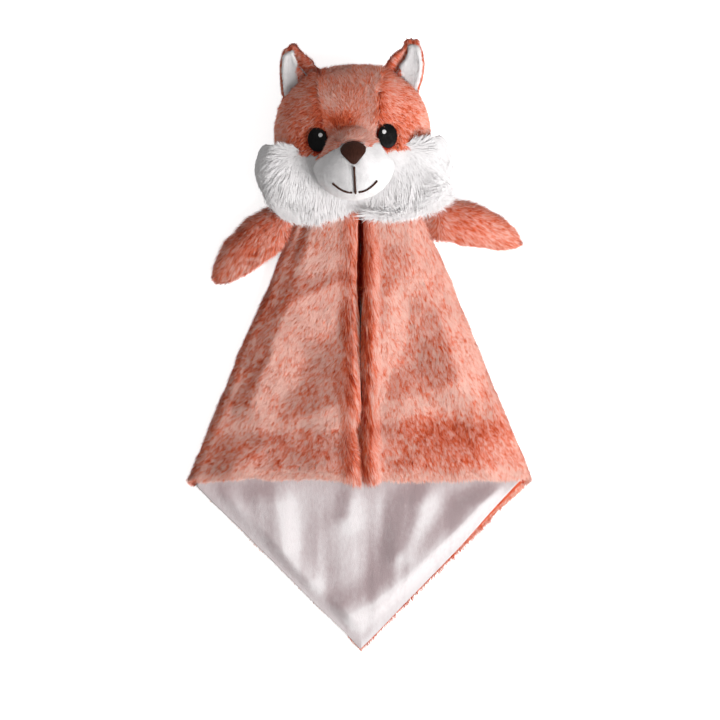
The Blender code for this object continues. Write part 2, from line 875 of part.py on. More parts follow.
def fold_matrix(side, plan, z):
    """A frame on an outer fold whose X points outwards and whose Y runs along the fold."""
    normal = fold_normal(side).to_3d()
    along = Vector((0, 0, 1)).cross(normal)
    turn = Matrix((normal, along, Vector((0, 0, 1)))).transposed().to_4x4()
    return Matrix.Translation(Vector((plan.x, plan.y, z))) @ turn


def main():
    lapels, arms = {}, {}
    for side, word in ((-1, "left"), (1, "right")):
        top, _ = roll_ends()
        place = Vector((side * (top.x - roll_gap / 2), top.y, roll_axis_z))
        lapels[side] = empty("lapel_axis_" + word, Matrix.Translation(place), root)
        plan = Vector((side * fold_x(-arm_shoulder_drop, -fold_radius), -arm_shoulder_drop))
        arm_axis = fold_matrix(side, plan, arm_half_thickness + arm_axis_lift)
        arms[side] = empty("arm_axis_" + word, arm_axis, root)
    head_frame = Matrix.Translation((-head_offset, 0, neck_axis_z)) @ Matrix.Rotation(head_turn, 4, "Z")
    neck = empty("neck_axis", head_frame, root)
    ears = {}
    for side, word in ((-1, "left"), (1, "right")):
        local = face_point(side * ear_base_x, ear_base_y)
        local.z = head_half_depth + ear_axis_lift + table
        ears[side] = empty("ear_axis_" + word, head_frame @ Matrix.Translation(local), neck)

    build_blanket(lapels)
    build_head_skins(neck, head_frame, neck_notch())
    build_muzzle(neck, head_frame)
    build_face(neck, head_frame)
    build_ears(ears, head_frame)
    build_arm("left", -1, arm_left_angle, arm_left_curl, arms[-1])
    build_arm("right", 1, arm_right_angle, arm_right_curl, arms[1])
    centre_on_base()
    for joint in (neck, *lapels.values(), *arms.values(), *ears.values()):
        bpy.context.view_layer.update()
        print(joint.name, [round(value, 5) for value in joint.matrix_world.translation])


def centre_on_base():
    """Moves the model so that the middle of its box on the table is the origin."""
    bpy.context.view_layer.update()
    graph = bpy.context.evaluated_depsgraph_get()
    corners = []
    for item in parts.objects:
        if item.type == "EMPTY":
            continue
        seen = item.evaluated_get(graph)
        mesh = seen.to_mesh()
        corners += [seen.matrix_world @ vertex.co for vertex in mesh.vertices]
        seen.to_mesh_clear()
    low = [min(point[axis] for point in corners) for axis in range(3)]
    high = [max(point[axis] for point in corners) for axis in range(3)]
    middle = Vector(((low[0] + high[0]) / 2, (low[1] + high[1]) / 2, low[2]))
    print("moved by", [round(-value, 5) for value in middle])
    root.location = -middle
    bpy.context.view_layer.update()


main()
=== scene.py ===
"""Fox comfort blanket: pile, velour, stitches and filling on the packed parts.

The blanket's cloth is laid out again from the flat square in the same folds as the packed
sheets, and every furry panel is a backing with real blades of pile growing out of it.
Metres, +Z up, head towards +Y.
"""

import itertools
import json
import math

import bmesh
import bpy
import numpy as np
from bpy.props import FloatProperty, FloatVectorProperty, IntProperty, PointerProperty
from bpy.types import Operator, Panel, PropertyGroup
from mathutils import Matrix, Vector, noise
from mathutils.bvhtree import BVHTree


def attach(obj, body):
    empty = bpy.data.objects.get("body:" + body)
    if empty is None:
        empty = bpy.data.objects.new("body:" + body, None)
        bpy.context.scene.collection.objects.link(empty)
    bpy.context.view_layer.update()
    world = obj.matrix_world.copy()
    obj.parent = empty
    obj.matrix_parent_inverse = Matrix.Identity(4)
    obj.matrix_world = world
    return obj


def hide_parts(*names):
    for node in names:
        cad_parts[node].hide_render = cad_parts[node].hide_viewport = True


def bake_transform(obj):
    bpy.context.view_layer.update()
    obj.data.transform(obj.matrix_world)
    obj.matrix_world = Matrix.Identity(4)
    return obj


bl_info = {
    "name": "Fox comfort blanket",
    "version": (1, 0, 0),
    "blender": (4, 5, 0),
    "location": "View3D > Sidebar > Fox blanket",
    "description": "Dresses a folded plush comfort blanket with a stuffed fox head",
    "category": "Object",
}

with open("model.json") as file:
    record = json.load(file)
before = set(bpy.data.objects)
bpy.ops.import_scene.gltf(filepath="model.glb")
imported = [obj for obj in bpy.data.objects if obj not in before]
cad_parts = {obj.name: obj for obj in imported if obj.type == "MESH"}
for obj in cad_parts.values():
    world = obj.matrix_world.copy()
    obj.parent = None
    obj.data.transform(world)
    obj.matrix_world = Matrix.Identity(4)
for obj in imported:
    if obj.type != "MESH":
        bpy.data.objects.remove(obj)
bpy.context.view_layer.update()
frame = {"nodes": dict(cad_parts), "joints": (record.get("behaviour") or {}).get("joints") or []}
joints = {joint["name"]: joint for joint in frame["joints"]}
seam_y = joints["neck_nod"]["pos_m"][1]
head_x = -0.0032
face_middle = 0.036
head_turn = math.radians(3)
fold_angle = math.radians(22.5)


def length(name, description, default):
    return FloatProperty(name=name, description=description, default=default, unit="LENGTH", precision=5)


def density(name, default):
    return FloatProperty(name=name, description="Blades to a square millimetre", default=default)


def colour(name, description, default):
    return FloatVectorProperty(
        name=name, description=description, default=default, size=3, subtype="COLOR", min=0, max=1
    )


class ClothSettings(PropertyGroup):
    side: length("Square", "Side of the square that the blanket is cut from", 0.280)
    corner_to_neck: length("Cut corner", "From the cut-off corner down to the neck seam", 0.0927)
    stack: length("Stack", "Height of the folded layers", 0.0137)
    slit: length("Slit", "Width of the opening down the front", 0.0035)
    neck_rise: length("Neck rise", "How far the cloth climbs to the neck seam", 0.0080)
    rise_length: length("Rise length", "Over what length the cloth climbs", 0.0270)
    ridge_height: length("Puff height", "Height of the puffed front over its hollows", 0.0046)
    backing_radius: length("Backing", "Outer face of the backing from the fold's middle", 0.0046)
    backing: length("Backing thickness", "Thickness of the knitted backing", 0.0016)
    lining_radius: length("Lining", "Inner face of the lining from the fold's middle", 0.00075)
    lining: length("Lining thickness", "Thickness of the velour lining", 0.0012)
    crumple: length("Crumple", "Height of the small hollows in the cloth", 0.0009)
    ripple: length("Ripples", "Height of the ripples in the lining under the hem", 0.0024)


class PileSettings(PropertyGroup):
    front: length("Front pile", "Pile length on the front", 0.0046)
    edge: length("Edge pile", "Pile length along the slit", 0.0078)
    back: length("Back pile", "Pile length on the back", 0.0050)
    face: length("Face pile", "Pile length on the head", 0.0044)
    ruff: length("Cheek pile", "Pile length on the cheeks", 0.0088)
    snout: length("Snout pile", "Pile length on the snout", 0.0026)
    ear: length("Ear pile", "Pile length on the ears", 0.0030)
    arm: length("Arm pile", "Pile length on the arms", 0.0066)
    width: length("Blade width", "Width of a blade at its root", 0.00060)
    front_density: density("Front density", 9.4)
    back_density: density("Back density", 3.2)
    head_density: density("Head density", 8.0)
    seed: IntProperty(name="Seed", description="Start of every random choice", default=11)


class ColourSettings(PropertyGroup):
    root: colour("Pile root", "Deep red-orange at the root of the pile", (0.38, 0.020, 0.006))
    middle: colour("Pile middle", "Orange half way up the pile", (0.78, 0.155, 0.062))
    bright: colour("Orange tip", "Tips that stay orange", (0.84, 0.165, 0.058))
    pale: colour("Pale tip", "Tips bleached to salmon cream", (0.96, 0.655, 0.56))
    white_root: colour("White root", "Root of the white pile", (0.78, 0.74, 0.74))
    white: colour("White pile", "Tips of the white pile", (0.93, 0.92, 0.92))
    velour: colour("Velour", "The pale lining", (0.70, 0.655, 0.66))
    # Painted shade: this darker velour is laid on the ripple sides that face away from the lamp, and also in
    # random streaks.
    velour_shade: colour("Brushed velour", "The lining brushed the other way", (0.46, 0.355, 0.365))
    brown: colour("Brown thread", "Nose and mouth", (0.024, 0.008, 0.005))
    black: colour("Black thread", "Eyes", (0.0018, 0.0015, 0.0015))
    thread: colour("White thread", "Spots in the eyes", (0.38, 0.365, 0.36))
    filling: colour("Filling", "Fibre filling", (0.86, 0.86, 0.84))
    floor: colour("Floor", "Plain floor", (0.93, 0.93, 0.93))


class StageSettings(PropertyGroup):
    view_width: length("View width", "Width of the floor that the picture takes in", 0.486)
    lens: FloatProperty(name="Lens", description="Focal length in millimetres", default=700.0)
    centre_x: length("Centre X", "Middle of the picture", -0.0003)
    centre_y: length("Centre Y", "Middle of the picture", -0.0116)
    key: FloatProperty(name="Key light", description="Watts of the large lamp", default=45.0)
    fill: FloatProperty(name="Fill", description="Strength of the light from all round", default=0.28)


def cloth():
    return bpy.context.scene.fox_cloth


def pile_sizes():
    return bpy.context.scene.fox_pile


def colours():
    return bpy.context.scene.fox_colours


# Smooth random numbers


def scatter(cells, seed):
    """A number from 0 to 1 for each whole cell, the same on every run."""
    mixed = cells @ np.array((127.1, 311.7, 74.7)) + seed * 53.37
    return np.modf(np.abs(np.sin(mixed)) * 43758.5453)[0]


def drift(points, size, seed):
    """Smooth numbers from -1 to 1 that change over about size metres."""
    place = points / size
    cell = np.floor(place)
    part = place - cell
    part = part * part * (3 - 2 * part)
    total = np.zeros(len(points))
    for corner in itertools.product((0, 1), repeat=3):
        share = np.prod(np.where(np.array(corner, bool), part, 1 - part), axis=1)
        total += share * scatter(cell + np.array(corner), seed)
    return 2 * total - 1


def unit(vectors):
    return vectors / np.maximum(np.linalg.norm(vectors, axis=1), 1e-12)[:, None]


def smooth_step(low, high, value):
    t = np.clip((value - low) / (high - low), 0, 1)
    return t * t * (3 - 2 * t)


def bell(values, width):
    """1 at 0, falling away smoothly over the width on both sides."""
    return np.exp(-((values / width) ** 2))


def scalar_bell(value, width):
    return math.exp(-((value / width) ** 2))


def fading(value, reach):
    """1 at 0, dying out over the reach."""
    return math.exp(-value / reach)


def blend_colours(a, b, share):
    return a + (b - a) * np.asarray(share)[:, None]


# Pile


class Skin:
    """Triangles of a surface, all or those of the faces to keep, with a normal at each corner."""

    def __init__(self, bm, keep=None):
        bm.normal_update()
        kept = [tri for tri in bm.calc_loop_triangles() if keep is None or keep(tri[0].face)]
        self.corners = np.array([[tuple(loop.vert.co) for loop in tri] for tri in kept])
        self.normals = np.array([[tuple(loop.vert.normal) for loop in tri] for tri in kept])

    def roots(self, density, seed):
        """Places and normals, so many to a square millimetre, on the rounded surface."""
        roundness = 0.75
        rng = np.random.default_rng(seed)
        a, b, c = self.corners[:, 0], self.corners[:, 1], self.corners[:, 2]
        area = np.linalg.norm(np.cross(b - a, c - a), axis=1) / 2
        count = int(area.sum() * 1e6 * density)
        steps = (np.arange(count) + rng.random(count)) / count * area.sum()
        pick = np.minimum(np.searchsorted(np.cumsum(area), steps), len(area) - 1)
        p, q = rng.random(count), rng.random(count)
        over = p + q > 1
        p[over], q[over] = 1 - p[over], 1 - q[over]
        share = np.stack([1 - p - q, p, q], axis=1)[:, :, None]
        corners, normals = self.corners[pick], self.normals[pick]
        flat = (corners * share).sum(1)
        off = ((flat[:, None] - corners) * normals).sum(2, keepdims=True)
        rounded = ((flat[:, None] - off * normals) * share).sum(1)
        return flat + roundness * (rounded - flat), unit((normals * share).sum(1))


class Pile:
    """What a patch of pile is like: sizes in metres, angles in radians.

    bend, spread, stray and sway curve the blades and vary their length and way. clump and
    pull gather their tips, and sections and sink are their steps and how deep they are rooted.
    pale_share, white, streak and fleck set their colours, lift, relief and facing their
    shading, and floor the height that none goes under.
    """

    usual = {
        "bend": 0.5, "spread": 0.25, "stray": 0.12, "sway": 0.5, "clump": 0.0024, "pull": 0.25,
        "sections": 1, "sink": 0.0, "pale_share": 0.6, "white": False, "streak": 0.45, "fleck": 1.0,
        "lift": 0.2, "relief": 1.0, "facing": 0.40, "floor": 0.0003,
    }

    def __init__(self, length, lean_degrees, **more):
        self.length, self.lean = length, math.radians(lean_degrees)
        for key, value in {"width": pile_sizes().width, **self.usual, **more}.items():
            setattr(self, key, value)


def tip_colours(pile, ends, way, clump_number, redness, rng):
    """Colours at the root, the middle and the tip of each blade, in streaks along the pile.

    They are taken by where the blade ends, so blades that end side by side make one fleck.
    """
    paint = colours()
    count = len(ends)
    loose = rng.random(count)
    if pile.white:
        root, tip = np.array(paint.white_root), np.array(paint.white)
        light = 1 + 0.07 * drift(ends, 0.003, 5) + 0.06 * drift(ends, 0.0012, 6) + 0.14 * (loose - 0.5)
        tips = tip * np.minimum(light, 1.04)[:, None]
        return np.tile(root, (count, 1)), 0.4 * root + 0.6 * tips, tips
    across = ends - pile.streak * (ends * way).sum(1)[:, None] * way
    share = pile.pale_share - redness + 0.14 * drift(ends, 0.012, 9) + 0.10 * (clump_number - 0.5)
    share += pile.fleck * (0.85 * drift(across, 0.0008, 7) + 0.45 * drift(across, 0.0018, 8))
    share += 0.30 * (loose - 0.5)
    pale, deep = np.clip(share, 0, 1), np.clip(-1.1 * share, 0, 1)
    tips = blend_colours(np.tile(paint.bright, (count, 1)), np.array(paint.pale), pale)
    tips = blend_colours(tips, np.array(paint.root), deep)
    tips = tips * (0.92 + 0.14 * rng.random(count))[:, None]
    middle = blend_colours(np.tile(paint.middle, (count, 1)), tips, 0.25 + 0.45 * pale)
    middle = blend_colours(middle, np.array(paint.root), deep)
    return np.tile(paint.root, (count, 1)), middle, tips


def grow(roots, normals, pile, comb, seed, lengths=1.0, redness=0.0, maps_from=0.0):
    """Blades of pile: points, normals, colours and map places of each, and its triangles."""
    rng = np.random.default_rng(seed)
    count = len(roots)
    redness = np.zeros(count) + redness
    brushed = unit(np.array(comb(roots), float))
    swirl = np.stack([drift(roots, 0.011, 20 + axis) for axis in range(3)], axis=1)
    way = brushed + pile.sway * swirl + 0.35 * (rng.random((count, 3)) - 0.5)
    way = unit(way - (way * normals).sum(1)[:, None] * normals)
    size = pile.length * lengths * (1 + pile.spread * (2 * rng.random(count) - 1))
    size = size * (1 + 0.12 * drift(roots, 0.008, 31))
    lean = pile.lean * (1 + 0.30 * drift(roots, 0.007, 41)) + 0.24 * (rng.random(count) - 0.5)

    cell = np.floor(roots / pile.clump)
    centre = np.stack([scatter(cell, seed + axis) for axis in range(3)], axis=1)
    offset = (cell + centre) * pile.clump - roots
    offset -= (offset * normals).sum(1)[:, None] * normals
    clump_number = scatter(cell, seed + 9)
    loose = pile.stray * size[:, None] * (rng.random((count, 3)) - 0.5) * 2

    steps = pile.sections
    corners = 2 * steps + 1
    start = roots - pile.sink * normals
    out = {
        "points": np.zeros((count, corners, 3)), "normals": np.zeros((count, corners, 3)),
        "shades": np.ones((count, corners, 4)), "places": np.zeros((count, corners, 2)),
    }
    columns = math.ceil(math.sqrt(count))
    index = np.arange(count)
    corner = np.stack([index % columns, index // columns], axis=1)
    upwards = pile.lift * np.array((0, 0, 1))
    tilt = unit(normals + upwards + 0.7 * (rng.random((count, 3)) - 0.5))
    gentle = bell(np.hypot(normals[:, 0], normals[:, 1]), 0.22)
    gain = 1 + (pile.relief - 1) * gentle
    lit = normals * np.stack([gain, gain, np.ones(count)], axis=1) + upwards

    def spine(t):
        angle = lean + pile.bend * (1 - t)
        along = np.cos(angle)[:, None] * way + np.sin(angle)[:, None] * normals
        return start + size[:, None] * t * along + pile.pull * t * t * offset + t * t * loose

    shades = tip_colours(pile, spine(1.0), brushed, clump_number, redness, rng)
    if steps == 1:
        shades = (0.25 * shades[0] + 0.75 * shades[1], None, shades[2])
    for step in range(steps + 1):
        t = step / steps
        here = spine(t)
        heading = unit(spine(min(t + 0.1, 1.0)) - spine(max(t - 0.1, 0.0)))
        across = unit(np.cross(heading, tilt)) * pile.width * (1 - 0.4 * t) / 2
        faced = unit(np.cross(across, heading))
        faced *= np.sign((faced * normals).sum(1) + 1e-9)[:, None]
        if steps == 1:
            shade = shades[2 * step]
        elif t < 0.5:
            shade = blend_colours(shades[0], shades[1], np.full(count, 2 * t))
        else:
            shade = blend_colours(shades[1], shades[2], np.full(count, 2 * t - 1))
        place = (corner + np.array([0.15 + 0.7 * t, 0.5])) / columns
        for side in ((-1, 1) if step < steps else (0,)):
            at = 2 * step + (side > 0)
            out["points"][:, at] = here + side * across
            out["normals"][:, at] = unit(lit + pile.facing * faced + 0.20 * heading)
            out["shades"][:, at, :3] = shade
            out["places"][:, at] = place + np.array([0, 0.3 * side / columns])
    out["points"][:, :, 2] = np.maximum(out["points"][:, :, 2], pile.floor)
    out["places"][:, :, 0] = maps_from + (1 - maps_from) * out["places"][:, :, 0]
    blade = []
    for step in range(steps - 1):
        a = 2 * step
        blade += [(a, a + 1, a + 3), (a, a + 3, a + 2)]
    blade.append((2 * steps - 2, 2 * steps - 1, 2 * steps))
    triangles = index[:, None, None] * corners + np.array(blade)[None]
    out = {key: value.reshape(-1, value.shape[-1]) for key, value in out.items()}
    out["triangles"] = triangles.reshape(-1, 3)
    return out


def joined(*parts):
    """Several lots of blades as one."""
    offset, triangles = 0, []
    for part in parts:
        triangles.append(part["triangles"] + offset)
        offset += len(part["points"])
    rows = ("points", "normals", "shades", "places")
    out = {key: np.concatenate([part[key] for part in parts]) for key in rows}
    out["triangles"] = np.concatenate(triangles)
    return out


def placed(name, mesh):
    """A mesh as an object of the scene."""
    piece = bpy.data.objects.new(name, mesh)
    bpy.context.scene.collection.objects.link(piece)
    return piece


def smooth_piece(name, bm, finish_name):
    """A bmesh, freed here, as a smoothly shaded object of the scene."""
    mesh = bpy.data.meshes.new(name)
    bm.to_mesh(mesh)
    bm.free()
    mesh.shade_smooth()
    mesh.materials.append(finish(finish_name))
    return placed(name, mesh)


def write_piece(name, parts, finish_name):
    """A mesh of many small blades, which no mesh operator makes, with its colours and map.

    Its shading normals are mostly those of the cloth that it grows from, as light passes
    through real pile, so a soft fold shades softly.
    """
    mesh = bpy.data.meshes.new(name)
    count = len(parts["triangles"])
    mesh.vertices.add(len(parts["points"]))
    mesh.loops.add(3 * count)
    mesh.polygons.add(count)
    mesh.vertices.foreach_set("co", parts["points"].astype(np.float32).ravel())
    loops = parts["triangles"].astype(np.int32).ravel()
    mesh.loops.foreach_set("vertex_index", loops)
    mesh.polygons.foreach_set("loop_start", np.arange(0, 3 * count, 3, dtype=np.int32))
    mesh.update(calc_edges=True)
    tint = mesh.attributes.new("pile_colour", "FLOAT_COLOR", "POINT")
    tint.data.foreach_set("color", parts["shades"].astype(np.float32).ravel())
    chart = mesh.uv_layers.new(name="OFBake")
    chart.data.foreach_set("uv", parts["places"][loops].astype(np.float32).ravel())
    mesh.shade_smooth()
    mesh.normals_split_custom_set_from_vertices(parts["normals"].tolist())
    mesh.materials.append(finish(finish_name))
    return placed(name, mesh)


def arrays_of(bm):
    """Points, normals and triangles of a bmesh."""
    bm.verts.index_update()
    points = np.array([tuple(v.co) for v in bm.verts])
    normals = np.array([tuple(v.normal) for v in bm.verts])
    triangles = np.array([[loop.vert.index for loop in tri] for tri in bm.calc_loop_triangles()])
    return points, normals, triangles


# Panels that follow a packed node


def copy_of(*nodes):
    """The merged mesh of packed nodes, whose own loose triangles stay as they are."""
    bm = bmesh.new()
    for node in nodes:
        bm.from_mesh(frame["nodes"][node].data)
    bmesh.ops.remove_doubles(bm, verts=bm.verts[:], dist=0.000002)
    bm.normal_update()
    return bm


def outer_patch(node, keep):
    """The outside faces of a node, as an open cloth panel."""
    bm = copy_of(node)
    drop = [face for face in bm.faces if not keep(face.calc_center_median(), face.normal)]
    bmesh.ops.delete(bm, geom=drop, context="FACES")
    bm.normal_update()
    return bm


def give_wall(bm, thickness):
    """Turns an open panel into a thin closed one, by a second layer under it."""
    inner = bmesh.ops.extrude_face_region(bm, geom=bm.faces[:], use_keep_orig=True)["geom"]
    bm.normal_update()
    moved = [item for item in inner if isinstance(item, bmesh.types.BMVert)]
    for vertex in moved:
        vertex.co -= vertex.normal * thickness
    bmesh.ops.reverse_faces(bm, faces=[item for item in inner if isinstance(item, bmesh.types.BMFace)])
    bmesh.ops.recalc_face_normals(bm, faces=bm.faces[:])


def reshaped(bm, shape):
    """Moves every point of a mesh by a function, where there is one."""
    for vertex in bm.verts if shape else ():
        vertex.co = shape(vertex.co)


def backing_arrays(bm, pile):
    """The backing of a panel, sunk under its pile, in the same form as the blades."""
    thickness, map_width, map_height, map_gap = 0.0008, 0.09, 0.98, 0.005
    for vertex in bm.verts:
        vertex.co -= vertex.normal * pile.sink
    bmesh.ops.subdivide_edges(bm, edges=bm.edges[:], cuts=1, use_grid_fill=True)
    bm.normal_update()
    give_wall(bm, thickness)
    points, normals, triangles = arrays_of(bm)
    normals = unit(normals + 0.5 * pile.lift * (normals[:, 2:] > -0.2) * np.array((0, 0, 1)))
    paint = colours()
    shades = np.ones((len(points), 4))
    shades[:, :3] = np.array(paint.white_root if pile.white else paint.root)
    low, high = points.min(0), points.max(0)
    places = (points - low)[:, :2] / (high - low)[:2] * np.array([map_width, map_height]) + map_gap
    return {
        "points": points, "normals": normals, "shades": shades, "places": places,
        "triangles": triangles,
    }


def furry_panel(
    name, node, body, keep, pile, comb, blades_to_mm2, slot,
    lengths=None, redness=None, shape=None, over=(), furred=None,
):
    """A panel of backing cloth with its pile, in the place of a packed node.

    The backing has the faces that pass keep, moved by shape, and the pile grows on those of
    them that pass furred. Roots whose share of the length is under least_length stay bare,
    and over adds the pile that hangs over from other panels.
    """
    least_length = 0.05
    seed = pile_sizes().seed + sum(map(ord, name))
    bm = outer_patch(node, keep)
    reshaped(bm, shape)
    roots, normals = Skin(bm, furred).roots(blades_to_mm2, seed)
    more = {}
    if lengths:
        more["lengths"] = lengths(roots)
        grown = more["lengths"] > least_length
        roots, normals, more["lengths"] = roots[grown], normals[grown], more["lengths"][grown]
    if redness:
        more["redness"] = redness(roots)
    blades = grow(roots, normals, pile, comb, seed, maps_from=0.1, **more)
    piece = write_piece(name, joined(backing_arrays(bm, pile), blades, *over), slot)
    bm.free()
    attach(piece, body)
    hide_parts(node)


def pile_over(node, pile, comb, covered, blades_to_mm2, lengths=None, shape=None):
    """Pile of a neighbouring panel where it lies over part of a node."""
    root_seed, pile_seed = 91, 92
    under = copy_of(node)
    reshaped(under, shape)
    upper = Skin(under, lambda face: face.normal.z > -0.3)
    roots, normals = upper.roots(blades_to_mm2, root_seed)
    under.free()
    near = covered(roots) > 0.5
    roots, normals = roots[near], normals[near]
    return grow(roots, normals, pile, comb, pile_seed, lengths(roots) if lengths else 1.0)


# Materials


def feed(tree, slot, value):
    """Gives a socket a plain value, or links a term to it."""
    if isinstance(value, Term):
        tree.links.new(value.socket, slot)
    else:
        slot.default_value = value


class Term:
    """A number in a material that takes part in Python sums."""

    def __init__(self, tree, socket):
        self.tree, self.socket = tree, socket

    def math(self, operation, first, second):
        node = self.tree.nodes.new("ShaderNodeMath")
        node.operation = operation
        for slot, value in zip(node.inputs, (first, second)):
            feed(self.tree, slot, value)
        return Term(self.tree, node.outputs[0])

    def __add__(self, other):
        return self.math("ADD", self, other)

    def __radd__(self, other):
        return self.math("ADD", other, self)

    def __sub__(self, other):
        return self.math("SUBTRACT", self, other)

    def __rsub__(self, other):
        return self.math("SUBTRACT", other, self)

    def __mul__(self, other):
        return self.math("MULTIPLY", self, other)

    def __rmul__(self, other):
        return self.math("MULTIPLY", other, self)


class Finish:
    """A material built from named nodes."""

    def __init__(self, name, roughness=0.9, **constant):
        self.material = bpy.data.materials.new(name)
        self.material.use_nodes = True
        self.tree = self.material.node_tree
        self.shader = self.tree.nodes["Principled BSDF"]
        for key, value in {"roughness": roughness, **constant}.items():
            self.surface(key.replace("_", " ").title().replace("Ior", "IOR"), value)

    def surface(self, socket, value):
        feed(self.tree, self.shader.inputs[socket], value)

    def add(self, kind, output=0, settings=None, **sockets):
        """One node: its settings first, then the values or links of its sockets.

        A socket whose name others share goes by its number, as i0, i6 or i7.
        """
        node = self.tree.nodes.new(kind)
        for key, value in (settings or {}).items():
            setattr(node, key, value)
        for key, value in sockets.items():
            numbered = key[0] == "i" and key[1:].isdigit()
            feed(self.tree, node.inputs[int(key[1:]) if numbered else key], value)
        return Term(self.tree, node.outputs[output])

    def place(self, stretch=(1, 1, 1)):
        """Object coordinates, stretched."""
        where = self.add("ShaderNodeTexCoord", output=3)
        return self.add("ShaderNodeMapping", Vector=where, Scale=stretch)

    def speckle(self, scale, detail=2.0, stretch=(1, 1, 1)):
        place = self.place(stretch)
        return self.add("ShaderNodeTexNoise", Vector=place, Scale=scale, Detail=detail)

    def mixed(self, share, first, second, way="MIX"):
        settings = {"data_type": "RGBA", "blend_type": way}
        return self.add("ShaderNodeMix", output=2, settings=settings, i0=share, i6=first, i7=second)

    def bump(self, height, distance, strength=1.0):
        normal = self.add("ShaderNodeBump", Height=height, Distance=distance, Strength=strength)
        self.surface("Normal", normal)

    def colour(self, value):
        self.surface("Base Color", value)

    def clamped(self, value):
        """Keeps a number between 0 and 1."""
        return self.add("ShaderNodeClamp", Value=value)


def solid(value):
    """A colour that isn't see-through."""
    return (*value, 1)


def pile_finish(name, patch_shade, amount):
    """Pile coloured along each blade, with faint worn and brushed patches over it."""
    made = Finish(name, roughness=0.82, sheen_weight=0.05, sheen_roughness=0.5, specular_ior_level=0.15)
    tint = made.add("ShaderNodeAttribute", settings={"attribute_name": "pile_colour"})
    patches = made.speckle(70.0, 3.0)
    made.colour(made.mixed(patches * amount, tint, patch_shade, "MULTIPLY"))
    made.surface("Roughness", 0.74 + made.speckle(900.0) * 0.16)
    return made.material


def backing_finish():
    """The knitted ground that the pile is fixed in."""
    paint = colours()
    made = Finish("knitted_backing", roughness=0.95)
    patches = made.speckle(260.0, 4.0)
    made.colour(made.mixed(patches, solid(paint.root), solid(paint.middle)))
    made.bump(made.speckle(1500.0), 0.0004)
    return made.material


def velour_finish():
    """Short velour in soft streaks of two tones with a fine pile, and painted light and shade from its
    ripples' turn to the lamp.
    """
    paint = colours()
    made = Finish("pale_velour_nap", roughness=0.9, sheen_weight=0.35, sheen_roughness=0.4)
    streaks = made.speckle(30.0, 4.0, (1.6, 0.45, 1))
    # a fine pile texture of random tone
    nap_and_painted_shade = made.speckle(420.0, 3.0, (1, 0.6, 1))
    # painted light and shade, stored on the lining's points from its ripples' turn to the lamp
    brushed = made.add("ShaderNodeAttribute", 2, {"attribute_name": "nap_and_painted_shade"})
    share = brushed + (streaks - 0.5) * 0.7 + (nap_and_painted_shade - 0.5) * 0.6
    made.colour(made.mixed(made.clamped(share), solid(paint.velour), solid(paint.velour_shade)))
    fibres = made.speckle(1900.0)
    made.bump(fibres * 0.7 + nap_and_painted_shade * 0.5, 0.0006, 0.8)
    made.surface("Roughness", 0.82 + nap_and_painted_shade * 0.14)
    return made.material


def satin_finish(name, shade, roughness):
    """Close satin stitches with the glint of thread, lighter along some strands."""
    made = Finish(name, roughness=roughness, specular_ior_level=0.10)
    strands = made.speckle(1400.0, 2.0, (1, 0.12, 1))
    lighter = tuple(min(channel * 3.4 + 0.004, 1) for channel in shade)
    made.colour(made.mixed(strands * 0.85, solid(shade), solid(lighter)))
    made.bump(strands, 0.0003, 0.6)
    made.surface("Roughness", roughness - 0.1 + strands * 0.25)
    return made.material


def filling_finish():
    """Loose tufts of fibre."""
    made = Finish("fibre_filling_tufts", roughness=1.0)
    tufts = made.speckle(160.0, 5.0)
    made.colour(made.mixed(tufts, solid(colours().filling), (0.70, 0.70, 0.68, 1)))
    made.bump(tufts, 0.002)
    return made.material


finishes = {}


def finish(name):
    """The material of a slot or of the backing, made when it is first asked for."""
    paint = colours()
    makers = {
        "orange_plush": lambda: pile_finish("orange_pile_blades", (0.93, 0.80, 0.78, 1), 0.55),
        "white_pile": lambda: pile_finish("white_pile_blades", (0.95, 0.93, 0.93, 1), 0.5),
        "backing": backing_finish,
        "pale_velour": velour_finish,
        "brown_satin": lambda: satin_finish("brown_satin_stitches", tuple(paint.brown), 0.42),
        "black_satin": lambda: satin_finish("black_satin_stitches", tuple(paint.black), 0.30),
        "white_thread": lambda: satin_finish("white_satin_stitches", tuple(paint.thread), 0.45),
        "fibre_filling": filling_finish,
    }
    if name not in finishes:
        finishes[name] = makers[name]()
    return finishes[name]


# The blanket's folds, with the neck seam at Y 0 until the last step


def fold_radius():
    return cloth().stack / 2


def hem_y():
    return cloth().corner_to_neck - cloth().side


def tip_y():
    return cloth().corner_to_neck - cloth().side * math.sqrt(2)


def fold_x(y):
    """Where the middle of the right outer fold lies at a height on the plan."""
    return (cloth().corner_to_neck - y) * math.tan(fold_angle) - fold_radius() / math.cos(fold_angle)


def corner_place():
    """Where the right outer fold meets the lower edge of the square, on the back."""
    x = fold_x(tip_y()) / (1 + math.tan(fold_angle))
    return Vector((x, tip_y() + x))


def rise(y):
    """How far the cloth has climbed towards the neck seam."""
    return cloth().neck_rise * max(1 + y / cloth().rise_length, 0)


# Hollows and rolls of the soft cloth: the points that each runs through, in millimetres from
# the neck seam, then its height and the widths of its left and right banks
front_hollows = (
    (((57, -47), (48, -52), (33, -66), (31, -88), (22, -109), (16, -132), (12, -149)), 1.0, 8.0, 40.0),
    (((-66, -51), (-36, -50), (-5, -46)), 0.8, 14.0, 9.0),
    (((-8, -68), (-13, -75), (-28, -95), (-41, -122), (-55, -148)), 1.0, 22.0, 30.0),
    (((-63, -103), (-79, -128)), 0.6, 6.0, 7.0),
    (((66, -98), (60, -128)), 0.35, 7.0, 12.0),
)
lining_rolls = (
    (((-60, -190), (-57, -216), (-53, -242), (-39, -261)), 5.2, 17.0, 9.0),
    (((-7, -188), (-8, -214)), 2.6, 8.0, 8.0),
    (((44, -190), (38, -214), (28, -236)), 4.6, 14.0, 9.0),
    (((88, -200), (66, -223), (50, -237), (27, -257), (10, -270), (-12, -284)), 5.4, 15.0, 9.0),
    (((-91, -192), (-80, -226)), 3.0, 8.0, 7.0),
    (((-16, -222), (-12, -250)), 1.6, 12.0, 12.0),
)


